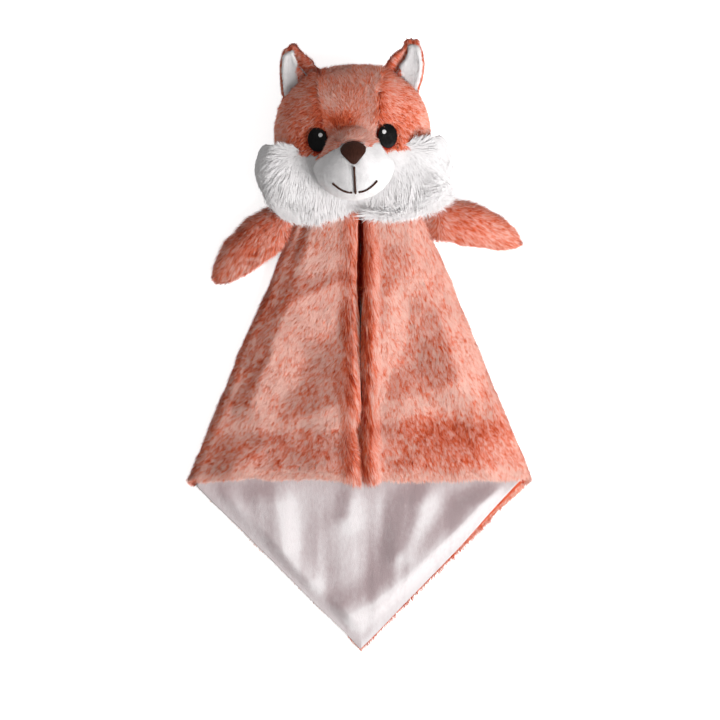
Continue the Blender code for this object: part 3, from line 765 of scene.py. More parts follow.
def roll_share(x, y, points, left, right):
    """How close a place is to a roll, 1 on it and 0 past its banks, on either side."""
    here, best, side = Vector((x, y)), None, 0
    for start, end in itertools.pairwise(points):
        a, b = Vector(start) / 1000, Vector(end) / 1000
        along = min(max((here - a).dot(b - a) / (b - a).length_squared, 0), 1)
        off = here - a - along * (b - a)
        if best is None or off.length < best:
            best = off.length
            side = (off.x * -(b - a).y + off.y * (b - a).x) / max(best * (b - a).length, 1e-9)
    width = (left + (right - left) * smooth_step(-0.6, 0.6, side)) / 1000
    return scalar_bell(best, width)


def ridge(x, y, side):
    """Height of the puffed front over its hollows."""
    depth = 0
    for points, share, left, right in front_hollows:
        if points[0][0] * side > 0:
            depth = max(depth, share * roll_share(x, y, points, left, right))
    band, wide, deep = (0.042, 0.019, 1.30) if side > 0 else (0.034, 0.016, 1.12)
    depth = max(depth, deep * scalar_bell(y - hem_y() - band, wide))
    return cloth().ridge_height * (1 - depth)


def hollow(x, y, seed):
    """Small hollows of soft cloth, from -1 to 1."""
    wide = noise.noise(Vector((x / 0.034, y / 0.040, seed)))
    return wide + 0.5 * noise.noise(Vector((x / 0.015, y / 0.017, seed + 5)))


def soften(point):
    """Takes the ruler-straight look out of the plan, the same for every layer."""
    sway = 0.0016
    along_seam = -0.010, -0.045
    x = sway * noise.noise(Vector((point.x / 0.05, point.y / 0.045, 2.0)))
    y = sway * noise.noise(Vector((point.x / 0.045, point.y / 0.05, 9.0)))
    calm = smooth_step(*along_seam, point.y)
    return Vector((point.x + calm * x, point.y + calm * y + seam_y, point.z))


def front_point(side, radius, inset, folds, u, v):
    """A point of a front layer: u from the slit round the outer fold, v from hem to neck.

    folds is 1 for the puffed plush, with its lip along the slit and the sunk edges, and 0
    for the flat lining under it.
    """
    turn_share, beside_fold = 0.84, 0.22
    crown, lip, lip_middle, lip_width = 0.0008, 0.0016, 0.0060, 0.0042
    hem_drop, hem_width, slit_drop, slit_width = 0.0022, 0.0022, 0.0024, 0.0016
    hem_wave, wave_length, wave_reach = 0.0014, 0.022, 0.015
    low, high = hem_y() + inset, -inset
    if u <= turn_share:
        k = u / turn_share
        y = low + v * (high - low)
        inner = cloth().slit / 2 + inset
        x = inner + k * (fold_x(y) - inner)
        z = fold_radius() + radius + rise(y)
        calm = smooth_step(0, beside_fold, 1 - k)
        z += folds * ridge(side * x, y, side) * (0.15 + 0.85 * calm)
        z += folds * crown * calm * k
        z += folds * cloth().crumple * (0.4 + hollow(side * x, y, 3.0 + side))
        z += folds * lip * scalar_bell(x - lip_middle, lip_width) * (1 - 0.4 * v)
        wave = noise.noise(Vector((side * x / wave_length, 3.3, 0)))
        y += folds * hem_wave * wave * fading(y - hem_y(), wave_reach)
        z -= folds * hem_drop * fading(y - hem_y(), hem_width)
        z -= folds * slit_drop * fading(x - inner, slit_width)
        return soften(Vector((side * x, y, z)))
    k = (u - turn_share) / (1 - turn_share)
    bottom = Vector((fold_x(low), low)).lerp(corner_place() + Vector((-inset, inset)), k)
    base = bottom.lerp(Vector((fold_x(high), high)), v)
    angle = math.pi * (1 - k)
    x = base.x + math.cos(fold_angle) * radius * math.sin(angle)
    y = base.y + math.sin(fold_angle) * radius * math.sin(angle)
    if y > high:
        slide = (y - high) / math.cos(fold_angle)
        x, y = x + slide * math.sin(fold_angle), high
    z = fold_radius() - radius * math.cos(angle) + rise(y)
    z += folds * cloth().crumple * (0.4 + hollow(side * x, y, 3.0 + side)) * (1 - k)
    z += folds * 0.15 * ridge(side * x, y, side) * (1 - k)
    if y > hem_y():
        z -= folds * hem_drop * fading(y - hem_y(), hem_width) * (1 - k)
    return soften(Vector((side * x, y, z)))


def half_width(y, inset):
    """Half the width of the back at a height on the plan."""
    low = (y - tip_y()) - inset * math.sqrt(2)
    return max(min(low, fold_x(y)), 0)


def back_point(u, v, radius, inset_left, inset_right, lift):
    """A point of a back layer: u from the left edge to the right one, v from tip to neck."""
    side_share, y = 2 * u - 1, back_rows(v)
    x = side_share * half_width(y, inset_left if side_share < 0 else inset_right(y))
    z = fold_radius() - radius + rise(y) + lift(x, y)
    return soften(Vector((x, y, z)))


def grid_sheet(columns, rows, place):
    """A grid bent into a sheet by a function of its two shares, with its map."""
    bm = bmesh.new()
    bmesh.ops.create_grid(bm, x_segments=columns, y_segments=rows, size=1)
    layer = bm.loops.layers.uv.new("OFBake")
    for face in bm.faces:
        for loop in face.loops:
            loop[layer].uv = (0.5 + 0.49 * loop.vert.co.x, 0.5 + 0.49 * loop.vert.co.y)
    for vertex in bm.verts:
        vertex.co = place((vertex.co.x + 1) / 2, (vertex.co.y + 1) / 2)
    bmesh.ops.remove_doubles(bm, verts=bm.verts[:], dist=0.000005)
    bm.normal_update()
    return bm


def facing(bm, out):
    """Turns a sheet so that its faces look along out at most places."""
    total = sum(face.normal.dot(out) * face.calc_area() for face in bm.faces)
    if total < 0:
        bmesh.ops.reverse_faces(bm, faces=bm.faces[:])
        bm.normal_update()


def sheet_object(name, bm, thickness, finish_name):
    """A sheet whose thickness grows inwards from the side it faces."""
    piece = smooth_piece(name, bm, finish_name)
    solid_wall = piece.modifiers.new("cloth_thickness", "SOLIDIFY")
    solid_wall.thickness = thickness
    solid_wall.offset = -1
    solid_wall.use_even_offset = True
    return piece


def across_roll_line(piece, side, word):
    """Works out the roll line of a front corner, and bakes a front layer's place into its mesh."""
    joint = joints["lapel_" + word]
    place, axis = Vector(joint["pos_m"]), Vector(joint["axis"])
    inwards = Vector((0, 0, 1)).cross(axis)
    if inwards.x * side > 0:
        inwards = -inwards
    "lapel_" + word
    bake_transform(piece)


def brushed_along(way):
    """A comb that brushes the same way everywhere."""
    return lambda roots: np.tile(way, (len(roots), 1))


def blanket_comb(roots):
    """Brushed down the blanket, slanting outwards, more so on the left."""
    way = np.zeros_like(roots)
    way[:, 1] = -1
    way[:, 0] = np.where(roots[:, 0] < 0, -0.85, 0.35) * np.tanh(np.abs(roots[:, 0]) / 0.03)
    return way


def beside_slit(roots):
    """1 on the two raised strips along the slit, 0 beyond them."""
    off = np.abs(roots[:, 0]) + 0.0012 * drift(roots, 0.008, 61)
    return 1 - smooth_step(0.0060, 0.0140, off)


def slit_comb(roots):
    """As the blanket is brushed, but beside the slit almost straight down."""
    way = blanket_comb(roots)
    near = beside_slit(roots)[:, None]
    return (1 - near) * way + near * np.array((0.28, -1.0, 0.0))


def nap_and_painted_shade(roots, normals):
    """Painted light and shade in the pile's colour: more orange and darker on slopes that face up to the
    left, away from the lamp, paler on slopes that face it, and paler in a band along the hem.
    """
    turn = normals[:, 0] * 0.80 - normals[:, 1] * 0.60
    edge = bell(roots[:, 1] - seam_y - hem_y(), 0.0045)
    return np.clip(-1.6 * turn, -0.22, 0.30) * (1 - edge) - 0.30 * edge


def painted_shade_low_corner(roots):
    """1 on the lower outer part of the right front, where the pile is painted more orange and darker as
    painted shade.
    """
    above_hem = roots[:, 1] - seam_y - hem_y()
    low = smooth_step(0.062, 0.034, above_hem) * smooth_step(0.006, 0.014, above_hem)
    return low * smooth_step(0.02, 0.04, roots[:, 0])


def slit_gap(y):
    """Half the width of the open slit, by how far down it is."""
    drop = seam_y - y
    wide = 0.0026 * smooth_step(0.008, 0.022, drop) * (1 - 0.97 * smooth_step(0.055, 0.092, drop))
    return wide * (1 - smooth_step(0.110, 0.150, drop)) - 0.0012 * smooth_step(0.120, 0.165, drop)


def parted(blades, side):
    """Keeps the pile out of the open slit."""
    points = blades["points"]
    edge = slit_gap(points[:, 1]) * (1 + 0.35 * drift(points, 0.005, 71))
    off = side * points[:, 0]
    points[:, 0] = side * np.maximum(off, edge + 0.15 * off.clip(-0.001, 0))
    return blades


def slit_lip(side, seed):
    """Dark red pile inside the slit, where the plush turns in, painted darker as painted shade, most where
    it is rooted lowest in the gap.
    """
    count, start, above_hem, low, height, turned_in = 14000, 0.006, 0.004, 0.0018, 0.0034, 0.0004
    rng = np.random.default_rng(seed)
    y = seam_y - start + (hem_y() + above_hem) * rng.random(count) ** 1.15
    drop = seam_y - y
    deep = rng.random(count)
    climb = cloth().neck_rise * np.maximum(1 - drop / cloth().rise_length, 0)
    level = fold_radius() + low + height * deep + climb
    x = side * (cloth().slit / 2 + turned_in) * np.ones(count)
    normals = np.tile((-side * 0.8, 0.0, 0.6), (count, 1))
    reach = 1.25 - 0.30 * smooth_step(0.045, 0.11, drop)
    lengths = reach * (1.25 - deep)
    brushed_open = smooth_step(0.060, 0.072, drop) if side > 0 else 0.0
    # painted shade: the lower a blade sits in the slit, the darker its tips
    redness = (2.0 - 0.8 * deep) * (1 - brushed_open) + 0.1 * brushed_open
    pile = Pile(0.0028, 35, sway=0.3, pull=0.0)
    comb = brushed_along((0.0, -1.0, -0.2))
    return grow(np.stack([x, y, level], axis=1), unit(normals), pile, comb, seed, lengths, redness)


def build_front(side, word):
    sizes = pile_sizes()
    radius = cloth().backing_radius
    bm = grid_sheet(64, 84, lambda u, v: front_point(side, radius, 0, 1, u, v))
    facing(bm, Vector((0, 0, 1)))
    seed = sizes.seed + 3 * side
    roots, normals = Skin(bm).roots(sizes.front_density, seed)
    near = beside_slit(roots)
    pile = Pile(
        sizes.front, 30, pale_share=0.74, sway=0.35, floor=0.0004, lift=0, relief=4.2,
        streak=0.40 + 0.42 * near[:, None], fleck=1.15 + 0.15 * near,
    )
    lengths = 1 + near * (sizes.edge / sizes.front - 1)
    # The strips beside the slit are redder, and the slopes add painted light and shade on top.
    redness = 0.56 * near + nap_and_painted_shade(roots, normals)
    if side > 0:
        # painted shade low on the right front
        redness += 0.34 * painted_shade_low_corner(roots)
    blades = grow(roots, normals, pile, slit_comb, seed, lengths, redness)
    fur = write_piece(
        "front_pile_" + word, joined(parted(blades, side), slit_lip(side, seed)), "orange_plush"
    )
    front = sheet_object("front_cloth_" + word, bm, cloth().backing, "backing")
    for piece in (front, fur):
        across_roll_line(piece, side, word)
    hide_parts("lapel_plush_" + word)
    "front_lining_" + word


def build_front_lining(side, word):
    radius = cloth().lining_radius + cloth().lining
    bm = grid_sheet(48, 60, lambda u, v: front_point(side, radius, 0.0016, 0, u, v))
    facing(bm, Vector((0, 0, 1)))
    lining = sheet_object("front_lining_" + word, bm, cloth().lining, "pale_velour")
    across_roll_line(lining, side, word)
    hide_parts("lapel_lining_" + word)


def edge_distance(x, y):
    """How far inside the lower edges of the square a plan point lies."""
    return ((y - tip_y()) - abs(x)) / math.sqrt(2)


def back_rows(v):
    """Heights of the back's rows, closer together at the tip."""
    return tip_y() + (v ** 1.15) * -tip_y()


def curl_up(x, y):
    """The plush rolls up round the sewn lower edges, most on the right."""
    height, reach = (0.0012, 0.0055) if x > 0 else (0.0006, 0.0045)
    close = max(1 - edge_distance(x, y) / reach, 0)
    return height * close * close if y < hem_y() else 0


def build_back():
    sizes = pile_sizes()
    radius = cloth().backing_radius

    def place(u, v):
        return back_point(u, v, radius, 0.0026, lambda y: 0.0010, curl_up)

    bm = grid_sheet(72, 110, place)
    facing(bm, Vector((0, 0, -1)))
    skin = Skin(bm)
    seed = sizes.seed + 50
    roots, normals = skin.roots(sizes.back_density, seed)
    pile = Pile(sizes.back, 20, pale_share=0.6, sway=0.7, pull=0.15)
    blades = grow(roots, normals, pile, blanket_comb, seed)
    rim = rim_blades(pile)
    fur = write_piece("back_pile", joined(blades, rim), "orange_plush")
    back = sheet_object("back_cloth", bm, cloth().backing, "backing")
    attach(back, "blanket")
    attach(fur, "blanket")
    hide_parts("blanket_plush")


def rim_blades(pile):
    """Pile that stands out round the sewn lower edges, most of it on the right."""
    rng = np.random.default_rng(77)
    lots = []
    corner = corner_place()
    for side, count, high in ((1, 7000, 0.0022), (-1, 260, 0.0026)):
        t = rng.random(count) if side > 0 else 0.085 * rng.random(count)
        x = side * corner.x * t
        y = tip_y() + corner.x * t
        depth = rng.random(count)
        spots = []
        for index in range(count):
            inside = 0.0030 * depth[index] if side > 0 else 0.0006
            level = high + 0.0008 * depth[index]
            place = Vector((x[index] - side * inside * 0.7, y[index] + inside * 0.7, level))
            spots.append(tuple(soften(place)))
        roots = np.array(spots)
        out = np.array((side * 0.7, -0.7, 0.0))
        lift = (0.35 + 0.9 * depth)[:, None] * np.array((0.0, 0.0, 1.0))
        normals = unit(out * (1.1 - depth)[:, None] + lift)
        short = Pile(pile.length * 0.75, 32, pale_share=0.5, sway=0.4)
        size = 0.22 + 0.85 * t ** 3 + 0.7 * (side < 0)
        comb = brushed_along((0.0, -1.0, 0.0))
        lots.append(grow(roots, normals, short, comb, 88 + side, size))
    return joined(*lots)


def lining_inset(y):
    """The lining stops short of the right edge, more so towards the hem."""
    share = smooth_step(tip_y(), hem_y(), y)
    return (0.0002 + 0.0030 * share ** 3) if y < hem_y() else 0.0012


def ripples(x, y):
    """Upright ripples in the bare lining, dying out to its edges."""
    below = smooth_step(0, 0.020, hem_y() - y)
    room = smooth_step(0.0, 0.010, edge_distance(x, y) - 0.001)
    wave = noise.noise(Vector((x / 0.013, y / 0.085, 7.3))) + 0.45 * noise.noise(
        Vector((x / 0.0065, y / 0.05, 1.7))
    )
    broad = noise.noise(Vector((x / 0.05, y / 0.06, 4.1)))
    lift = 0.35 * cloth().ripple * (wave + 0.6 * broad + 0.4)
    for points, height, left, right in lining_rolls:
        lift += height / 1000 * roll_share(x, y, points, left, right)
    edge = max(1 - edge_distance(x, y) / 0.005, 0) ** 2 if y < hem_y() else 0
    return below * room * lift - 0.0006 * edge


def paint_ripple_shade(bm):
    """Paints light and shade into the velour's colour: a share towards its darker colour on the sides of its
    ripples that face away from the lamp, and less on those that face it.
    """
    layer = bm.verts.layers.float.new("nap_and_painted_shade")
    bm.normal_update()
    for vertex in bm.verts:
        turn = vertex.normal.x * 0.75 - vertex.normal.y * 0.65
        vertex[layer] = min(max(0.42 - 2.4 * turn, 0), 1)


def build_back_lining():
    def place(u, v):
        return back_point(u, v, cloth().lining_radius, -0.0006, lining_inset, ripples)

    bm = grid_sheet(150, 190, place)
    facing(bm, Vector((0, 0, 1)))
    # painted light and shade on the ripples
    paint_ripple_shade(bm)
    lining = sheet_object("back_lining", bm, cloth().lining, "pale_velour")
    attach(lining, "blanket")
    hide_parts("blanket_lining")


# Head


def head_place(x, y, z):
    """A point given from the face's middle, in the turned head's own directions."""
    off_seam = Matrix.Rotation(head_turn, 3, "Z") @ Vector((x, face_middle + y, z))
    return Vector((head_x, seam_y, 0)) + off_seam


def face_shares(roots):
    """Places seen from the face's middle, in the turned head's own directions."""
    cos, sin = math.cos(head_turn), math.sin(head_turn)
    x, y = roots[:, 0] - head_x, roots[:, 1] - seam_y
    return np.stack([x * cos + y * sin, -x * sin + y * cos - face_middle, roots[:, 2]], axis=1)


def turned(vectors):
    """Directions in the head's own space, given in the directions of the whole toy."""
    cos, sin = math.cos(head_turn), math.sin(head_turn)
    x, y = vectors[:, 0], vectors[:, 1]
    return np.stack([x * cos - y * sin, x * sin + y * cos, vectors[:, 2]], axis=1)


def away_from(centre):
    """A comb that brushes away from a place in the head's own space."""
    def comb(roots):
        return turned(face_shares(roots) - np.array(centre))
    return comb


def outward(centre, normal, *middle):
    """How far a face looks away from a place in the head, 1 straight away."""
    return normal.dot((centre - head_place(*middle)).normalized())


def head_outside(centre, normal):
    """True for the faces on the outside of the head."""
    return outward(centre, normal, 0, 0.0045, 0.031) > 0.55


def off_filling(node, distance):
    """A test that leaves out the faces of a skin that lie on its filling."""
    filling = copy_of(node)
    inside = BVHTree.FromBMesh(filling)
    filling.free()

    def outside(centre, normal):
        return inside.find_nearest(centre)[3] > distance
    return outside


def ruff_outside():
    """The puffed outside of a cheek, without its sides on the head and in the middle."""
    off_head = off_filling("head_stuffing", 0.0016)
    upright = Matrix.Rotation(-head_turn, 3, "Z")

    def outside(centre, normal):
        across = (upright @ (centre - Vector((head_x, seam_y, 0)))).x
        turned_out = outward(centre, normal, 0, 0.0045, 0.031) > 0.05 and normal.z > -0.55
        return turned_out and abs(across) > 0.001 and off_head(centre, normal)
    return outside


def off_middle(face):
    """False on the sides of the cheeks that face each other, whose pile is worn off."""
    upright = Matrix.Rotation(-head_turn, 3, "Z")
    across = (upright @ (face.calc_center_median() - Vector((head_x, seam_y, 0)))).x
    way = upright @ face.normal
    return abs(across) > 0.020 or (way.x * math.copysign(1, across) > -0.45 and way.y > -0.85)


def snout_outside(centre, normal):
    """True for the faces on the outside of the snout."""
    return outward(centre, normal, 0, -0.0135, 0.0585) > 0.55


def near_stitches(gap):
    """Shortens the pile beside the embroidery, and leaves none under it."""
    spots = []
    for node in ("eye_left", "eye_right", "nose", "mouth_line", "smile_left", "smile_right"):
        bm = copy_of(node)
        bmesh.ops.subdivide_edges(bm, edges=bm.edges[:], cuts=1, use_grid_fill=True)
        spots += [tuple(v.co) for v in bm.verts]
        bm.free()
    spots = np.array(spots)

    def lengths(roots):
        near = np.full(len(roots), 9.0)
        for start in range(0, len(spots), 64):
            part = spots[start:start + 64]
            off = roots[:, None, :2] - part[None, :, :2]
            deep = roots[:, None, 2] - part[None, :, 2]
            near = np.minimum(near, np.sqrt((off ** 2).sum(2) + 0.3 * deep ** 2).min(1))
        return smooth_step(gap * 0.35, gap * 2.4, near)
    return lengths


def forehead_redness(roots):
    """Deep red partings over the snout and beside the eyes."""
    place = face_shares(roots)
    x, y = place[:, 0], place[:, 1]
    spot = np.exp(-(((x + 0.007) / 0.010) ** 2 + ((y - 0.015) / 0.007) ** 2))
    cheeks = np.exp(-(((np.abs(x) - 0.033) / 0.010) ** 2 + ((y - 0.008) / 0.018) ** 2))
    sides = smooth_step(0.040, 0.050, np.abs(x))
    red = 1.1 * spot + 0.42 * cheeks + 0.45 * head_seams(roots)
    return red - 0.22 * sides + 0.12 * drift(roots, 0.012, 3)


def head_seams(roots):
    """1 on the two seams of the forehead, 0 beside them."""
    place = face_shares(roots)
    off = np.abs(place[:, 0]) - 0.0185 - 0.06 * np.maximum(place[:, 1], 0)
    return np.exp(-((off / 0.0035) ** 2)) * (place[:, 1] > 0.012)


def build_head_panels():
    sizes = pile_sizes()
    near = near_stitches(0.0016)
    stitches = lambda roots: near(roots) * (1 + 0.4 * head_seams(roots))
    up = away_from((0.0, -0.012, 0.020))
    face = Pile(
        sizes.face, 32, sections=2, sink=0.0026, pale_share=0.46, sway=0.5, stray=0.2,
        lift=0.3, streak=0.5, fleck=1.2,
    )
    gusset = Pile(
        sizes.face, 38, sections=2, sink=0.0026, pale_share=0.72, sway=0.5, stray=0.2,
        lift=0.6, streak=0.4,
    )
    down = away_from((0.0, 0.044, 0.040))
    for name, node, pile, comb in (
        ("forehead_fur", "forehead_gusset", gusset, up),
        ("face_fur_left", "side_face_left", face, down),
        ("face_fur_right", "side_face_right", face, down),
    ):
        furry_panel(
            name, node, "head", head_outside, pile, comb, sizes.head_density, "orange_plush",
            lengths=stitches, redness=forehead_redness,
        )
    back = Pile(sizes.face, 24, sink=0.0030, pale_share=0.62, lift=0.6)
    furry_panel(
        "head_back_fur", "head_back", "head", head_outside, back, away_from((0, -0.06, 0.02)),
        sizes.head_density * 0.55, "orange_plush",
    )


def ruff_lengths(stitches):
    """Short under the snout and at the sides, long below, where it hangs over the blanket."""
    def lengths(roots):
        place = face_shares(roots)
        reach = np.hypot(place[:, 0], (place[:, 1] + 0.0135) * 1.1)
        grown = 0.50 + 0.34 * smooth_step(0.024, 0.046, reach) * smooth_step(0.002, -0.008, place[:, 1])
        wide, high = smooth_step(0.036, 0.048, np.abs(place[:, 0])), smooth_step(0.012, 0.030, place[:, 2])
        grown += 0.30 * wide * high
        low = smooth_step(-0.012, -0.038, place[:, 1]) * (1 - 0.45 * np.exp(-((place[:, 0] / 0.009) ** 2)))
        low *= np.where(place[:, 0] > 0, 1.6, 1.3) * smooth_step(0.026, 0.034, reach)
        low *= smooth_step(0.016, 0.032, place[:, 2])
        return (grown + low) * np.maximum(stitches(roots), 0.06)
    return lengths


def ruff_comb(roots):
    """Brushed out and down from the snout."""
    place = face_shares(roots)
    way = place - np.array((0.0, -0.002, 0.055))
    way[:, 0] *= 0.7
    way[:, 1] -= 0.024 + 0.030 * smooth_step(-0.010, -0.040, place[:, 1])
    upward = smooth_step(-0.012, -0.001, place[:, 1]) * smooth_step(0.056, 0.044, np.abs(place[:, 0]))
    way[:, 1] += 0.045 * upward
    way[:, 2] *= 0.10
    return turned(way)


def build_ruffs():
    sizes = pile_sizes()
    stitches = near_stitches(0.0012)
    for word in ("left", "right"):
        pile = Pile(
            sizes.ruff, 14, sections=3, sink=0.0048, white=True, bend=0.7, spread=0.25,
            clump=0.0040, pull=0.16, stray=0.07, sway=0.4, width=sizes.width, floor=0.002,
            lift=2.4, facing=0.15,
        )
        furry_panel(
            "cheek_fur_" + word, "cheek_ruff_" + word, "head", ruff_outside(), pile, ruff_comb,
            sizes.head_density * 0.75, "white_pile", lengths=ruff_lengths(stitches), furred=off_middle,
        )


def over_snout(roots):
    """1 where the orange pile of the bridge hangs over the white snout, lower on the left."""
    place = face_shares(roots)
    x, y = place[:, 0], place[:, 1]
    left = y + 0.0023 - 0.51 * (x + 0.011)
    right = y + 0.0042 - 0.74 * (x - 0.0074)
    return smooth_step(-0.0006, 0.0006, np.where(x < -0.002, left, right) + 0.0008 * drift(roots, 0.003, 14))


def build_snout():
    sizes = pile_sizes()
    stitches, bridge_stitches = near_stitches(0.0004), near_stitches(0.0012)
    for word in ("left", "right"):
        pile = Pile(
            sizes.snout, 26, sink=0.0010, white=True, width=sizes.width * 0.8, lift=0.3,
        )
        furry_panel(
            "snout_fur_" + word, "muzzle_" + word, "head", snout_outside, pile,
            away_from((0.0, -0.004, 0.070)), sizes.head_density * 1.6, "white_pile", lengths=stitches,
        )
    pile = Pile(sizes.snout * 1.7, 38, sink=0.0012, pale_share=0.85, lift=1.4)
    short = Pile(sizes.snout, 30, pale_share=0.6, lift=0.5)
    hanging = [
        pile_over(
            "muzzle_" + word, short, away_from((0.0, 0.002, 0.075)), over_snout, sizes.head_density,
            bridge_stitches,
        )
        for word in ("left", "right")
    ]
    furry_panel(
        "snout_bridge_fur", "muzzle_bridge", "head", snout_outside, pile,
        away_from((0.0, -0.010, 0.060)), sizes.head_density * 1.4, "orange_plush",
        lengths=bridge_stitches, redness=forehead_redness, over=hanging,
    )


def stitched_pad(name, node, slot, along, pitch=0.00075, height=0.00014):
    """A packed pad of satin stitches with its threads raised side by side."""
    bm = copy_of(node)
    bmesh.ops.subdivide_edges(bm, edges=bm.edges[:], cuts=5, use_grid_fill=True, smooth=0.2)
    bm.normal_update()
    across = Vector((along.y, -along.x, 0))
    for vertex in bm.verts:
        lift = abs(math.sin(math.pi * vertex.co.dot(across) / pitch))
        fray = noise.noise(Vector((vertex.co.dot(across) / pitch * 0.9, vertex.co.dot(along) * 300, 0)))
        vertex.co += vertex.normal * (height * (lift - 0.5) + 0.4 * height * fray)
    piece = smooth_piece(name, bm, slot)
    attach(piece, "head")
    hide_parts(node)


def build_embroidery():
    up = Vector(turned(np.array([(0.0, 1.0, 0.0)]))[0])
    slant = (Matrix.Rotation(math.radians(90), 3, "Z") @ up).normalized()
    for name, node, along, slot in (
        ("nose_stitches", "nose", up, "brown_satin"),
        ("eye_stitches_left", "eye_left", slant, "black_satin"),
        ("eye_stitches_right", "eye_right", slant, "black_satin"),
        ("eye_spot_left", "eye_highlight_left", slant, "white_thread"),
        ("eye_spot_right", "eye_highlight_right", slant, "white_thread"),
        ("mouth_stitches", "mouth_line", slant, "brown_satin"),
        ("smile_stitches_left", "smile_left", up, "brown_satin"),
        ("smile_stitches_right", "smile_right", up, "brown_satin"),
    ):
        stitched_pad(name, node, slot, along)


def build_filling():
    for name, node, body in (
        ("head_filling", "head_stuffing", "head"), ("snout_filling", "muzzle_stuffing", "head"),
        ("arm_filling_left", "arm_stuffing_left", "arm_left"),
        ("arm_filling_right", "arm_stuffing_right", "arm_right"),
    ):
        bm = copy_of(node)
        bmesh.ops.subdivide_edges(bm, edges=bm.edges[:], cuts=2, use_grid_fill=True)
        bm.normal_update()
        for vertex in bm.verts:
            lump = 0.5 + 0.5 * noise.noise(vertex.co * 140)
            vertex.co -= vertex.normal * (0.0006 + 0.0020 * lump)
        piece = smooth_piece(name, bm, "fibre_filling")
        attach(piece, body)
        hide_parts(node)


# Ears and arms


def any_side(centre, normal):
    """Keeps every face, as both sides of an ear show."""
    return True


def beside_leaf(roots):
    """1 on the inner side of an ear, where its long pile lies over the pale leaf."""
    place = face_shares(roots)
    off = np.abs(place[:, 0]) - 0.0335 - 0.5 * np.maximum(0.038 - place[:, 1], 0)
    return 1 - smooth_step(-0.001, 0.002, off)


def ear_comb(roots):
    """Brushed down, and from the inner side outwards over the pale leaf."""
    way = np.zeros_like(roots)
    way[:, 1] = -1
    way[:, 0] = (0.2 + 1.3 * beside_leaf(roots)) * np.sign(roots[:, 0] - head_x)
    return way


def ear_shape(point):
    """Sets an ear a little to the right and rounds the corners of its tip."""
    place = face_shares(np.array([tuple(point)]))[0]
    apex = 0.0375 if place[0] < 0 else 0.0431
    corner = min(((abs(place[0]) - apex) / 0.008) ** 2, 1.5)
    right = 0.0022 * smooth_step(0.030, 0.050, place[1])
    return point + Vector((right, -0.0030 * corner * smooth_step(0.058, 0.070, place[1]), 0))


def leaf_lengths(roots):
    """Short where the long pile of the ear lies over the pale leaf."""
    return np.maximum(1 - beside_leaf(roots), 0.3)


def ear_lengths(roots):
    """Longer on the inner side below the tip."""
    place = face_shares(roots)
    return 1 + 0.3 * beside_leaf(roots) * smooth_step(0.066, 0.052, place[:, 1])


def build_ears():
    sizes = pile_sizes()
    for word in ("left", "right"):
        outer = Pile(
            sizes.ear, 22, sink=0.0010, pale_share=0.36, sway=0.3, pull=0.08
        )
        furry_panel(
            "ear_fur_" + word, "ear_outer_" + word, "ear_" + word, any_side, outer, ear_comb,
            sizes.head_density, "orange_plush", lengths=ear_lengths, shape=ear_shape,
            over=[pile_over(
                "ear_inner_" + word, outer, ear_comb, beside_leaf, sizes.head_density * 1.3, shape=ear_shape
            )],
        )
        inner = Pile(
            sizes.ear * 0.8, 24, sink=0.0006, white=True, sway=0.4, lift=0.6
        )
        furry_panel(
            "ear_lining_fur_" + word, "ear_inner_" + word, "ear_" + word, any_side, inner, ear_comb,
            sizes.head_density * 1.2, "white_pile", lengths=leaf_lengths, shape=ear_shape,
        )


def build_arms():
    sizes = pile_sizes()
    for side, word in ((-1, "left"), (1, "right")):
        off_wadding = off_filling("arm_stuffing_" + word, 0.0012)

        def outside(centre, normal, off_wadding=off_wadding):
            seam = abs(normal.z) > 0.98 and abs(centre.z - 0.0091) < 0.0012
            return off_wadding(centre, normal) and not seam

        def comb(roots, side=side):
            shoulder = 1 - smooth_step(0.046, 0.056, np.abs(roots[:, 0]))
            way = np.zeros_like(roots)
            way[:, 0] = side * (0.8 - 1.9 * shoulder)
            way[:, 1] = -0.9 if side < 0 else -0.35
            return way

        def shape(point, side=side):
            """The left arm is stuffed fuller than the right one on its lower side."""
            below = (point.x + 0.0476) * 0.53 - (point.y - seam_y + 0.0157) * 0.85
            fuller = 0.0042 * smooth_step(0.000, 0.012, below) * smooth_step(0.052, 0.070, -point.x)
            return point + Vector((0.15, -1.0, 0)) * (fuller if side < 0 else 0)

        for part in ("front", "back"):
            pile = Pile(
                sizes.arm, 34, sink=0.0026, pale_share=0.28 if side < 0 else 0.40, sway=0.5,
                floor=0.0004, fleck=1.2,
            )
            furry_panel(
                f"arm_{part}_fur_{word}", f"arm_{part}_{word}", "arm_" + word, outside, pile, comb,
                sizes.head_density * (1.0 if part == "front" else 0.6), "orange_plush", shape=shape,
            )


# Floor, light and camera


def stage_object(name, bm, material):
    mesh = bpy.data.meshes.new(name)
    bm.to_mesh(mesh)
    bm.free()
    mesh.materials.append(material)
    placed(name, mesh)


def look(place, aim):
    turn = (aim - place).to_track_quat("-Z", "Y")
    return Matrix.Translation(place) @ turn.to_matrix().to_4x4()


def area_light(name, place, aim, size, watts):
    data = bpy.data.lights.new(name, "AREA")
    data.shape = "DISK"
    data.size = size
    data.energy = watts
    lamp = bpy.data.objects.new(name, data)
    lamp.matrix_world = look(Vector(place), Vector(aim))
    bpy.context.scene.collection.objects.link(lamp)


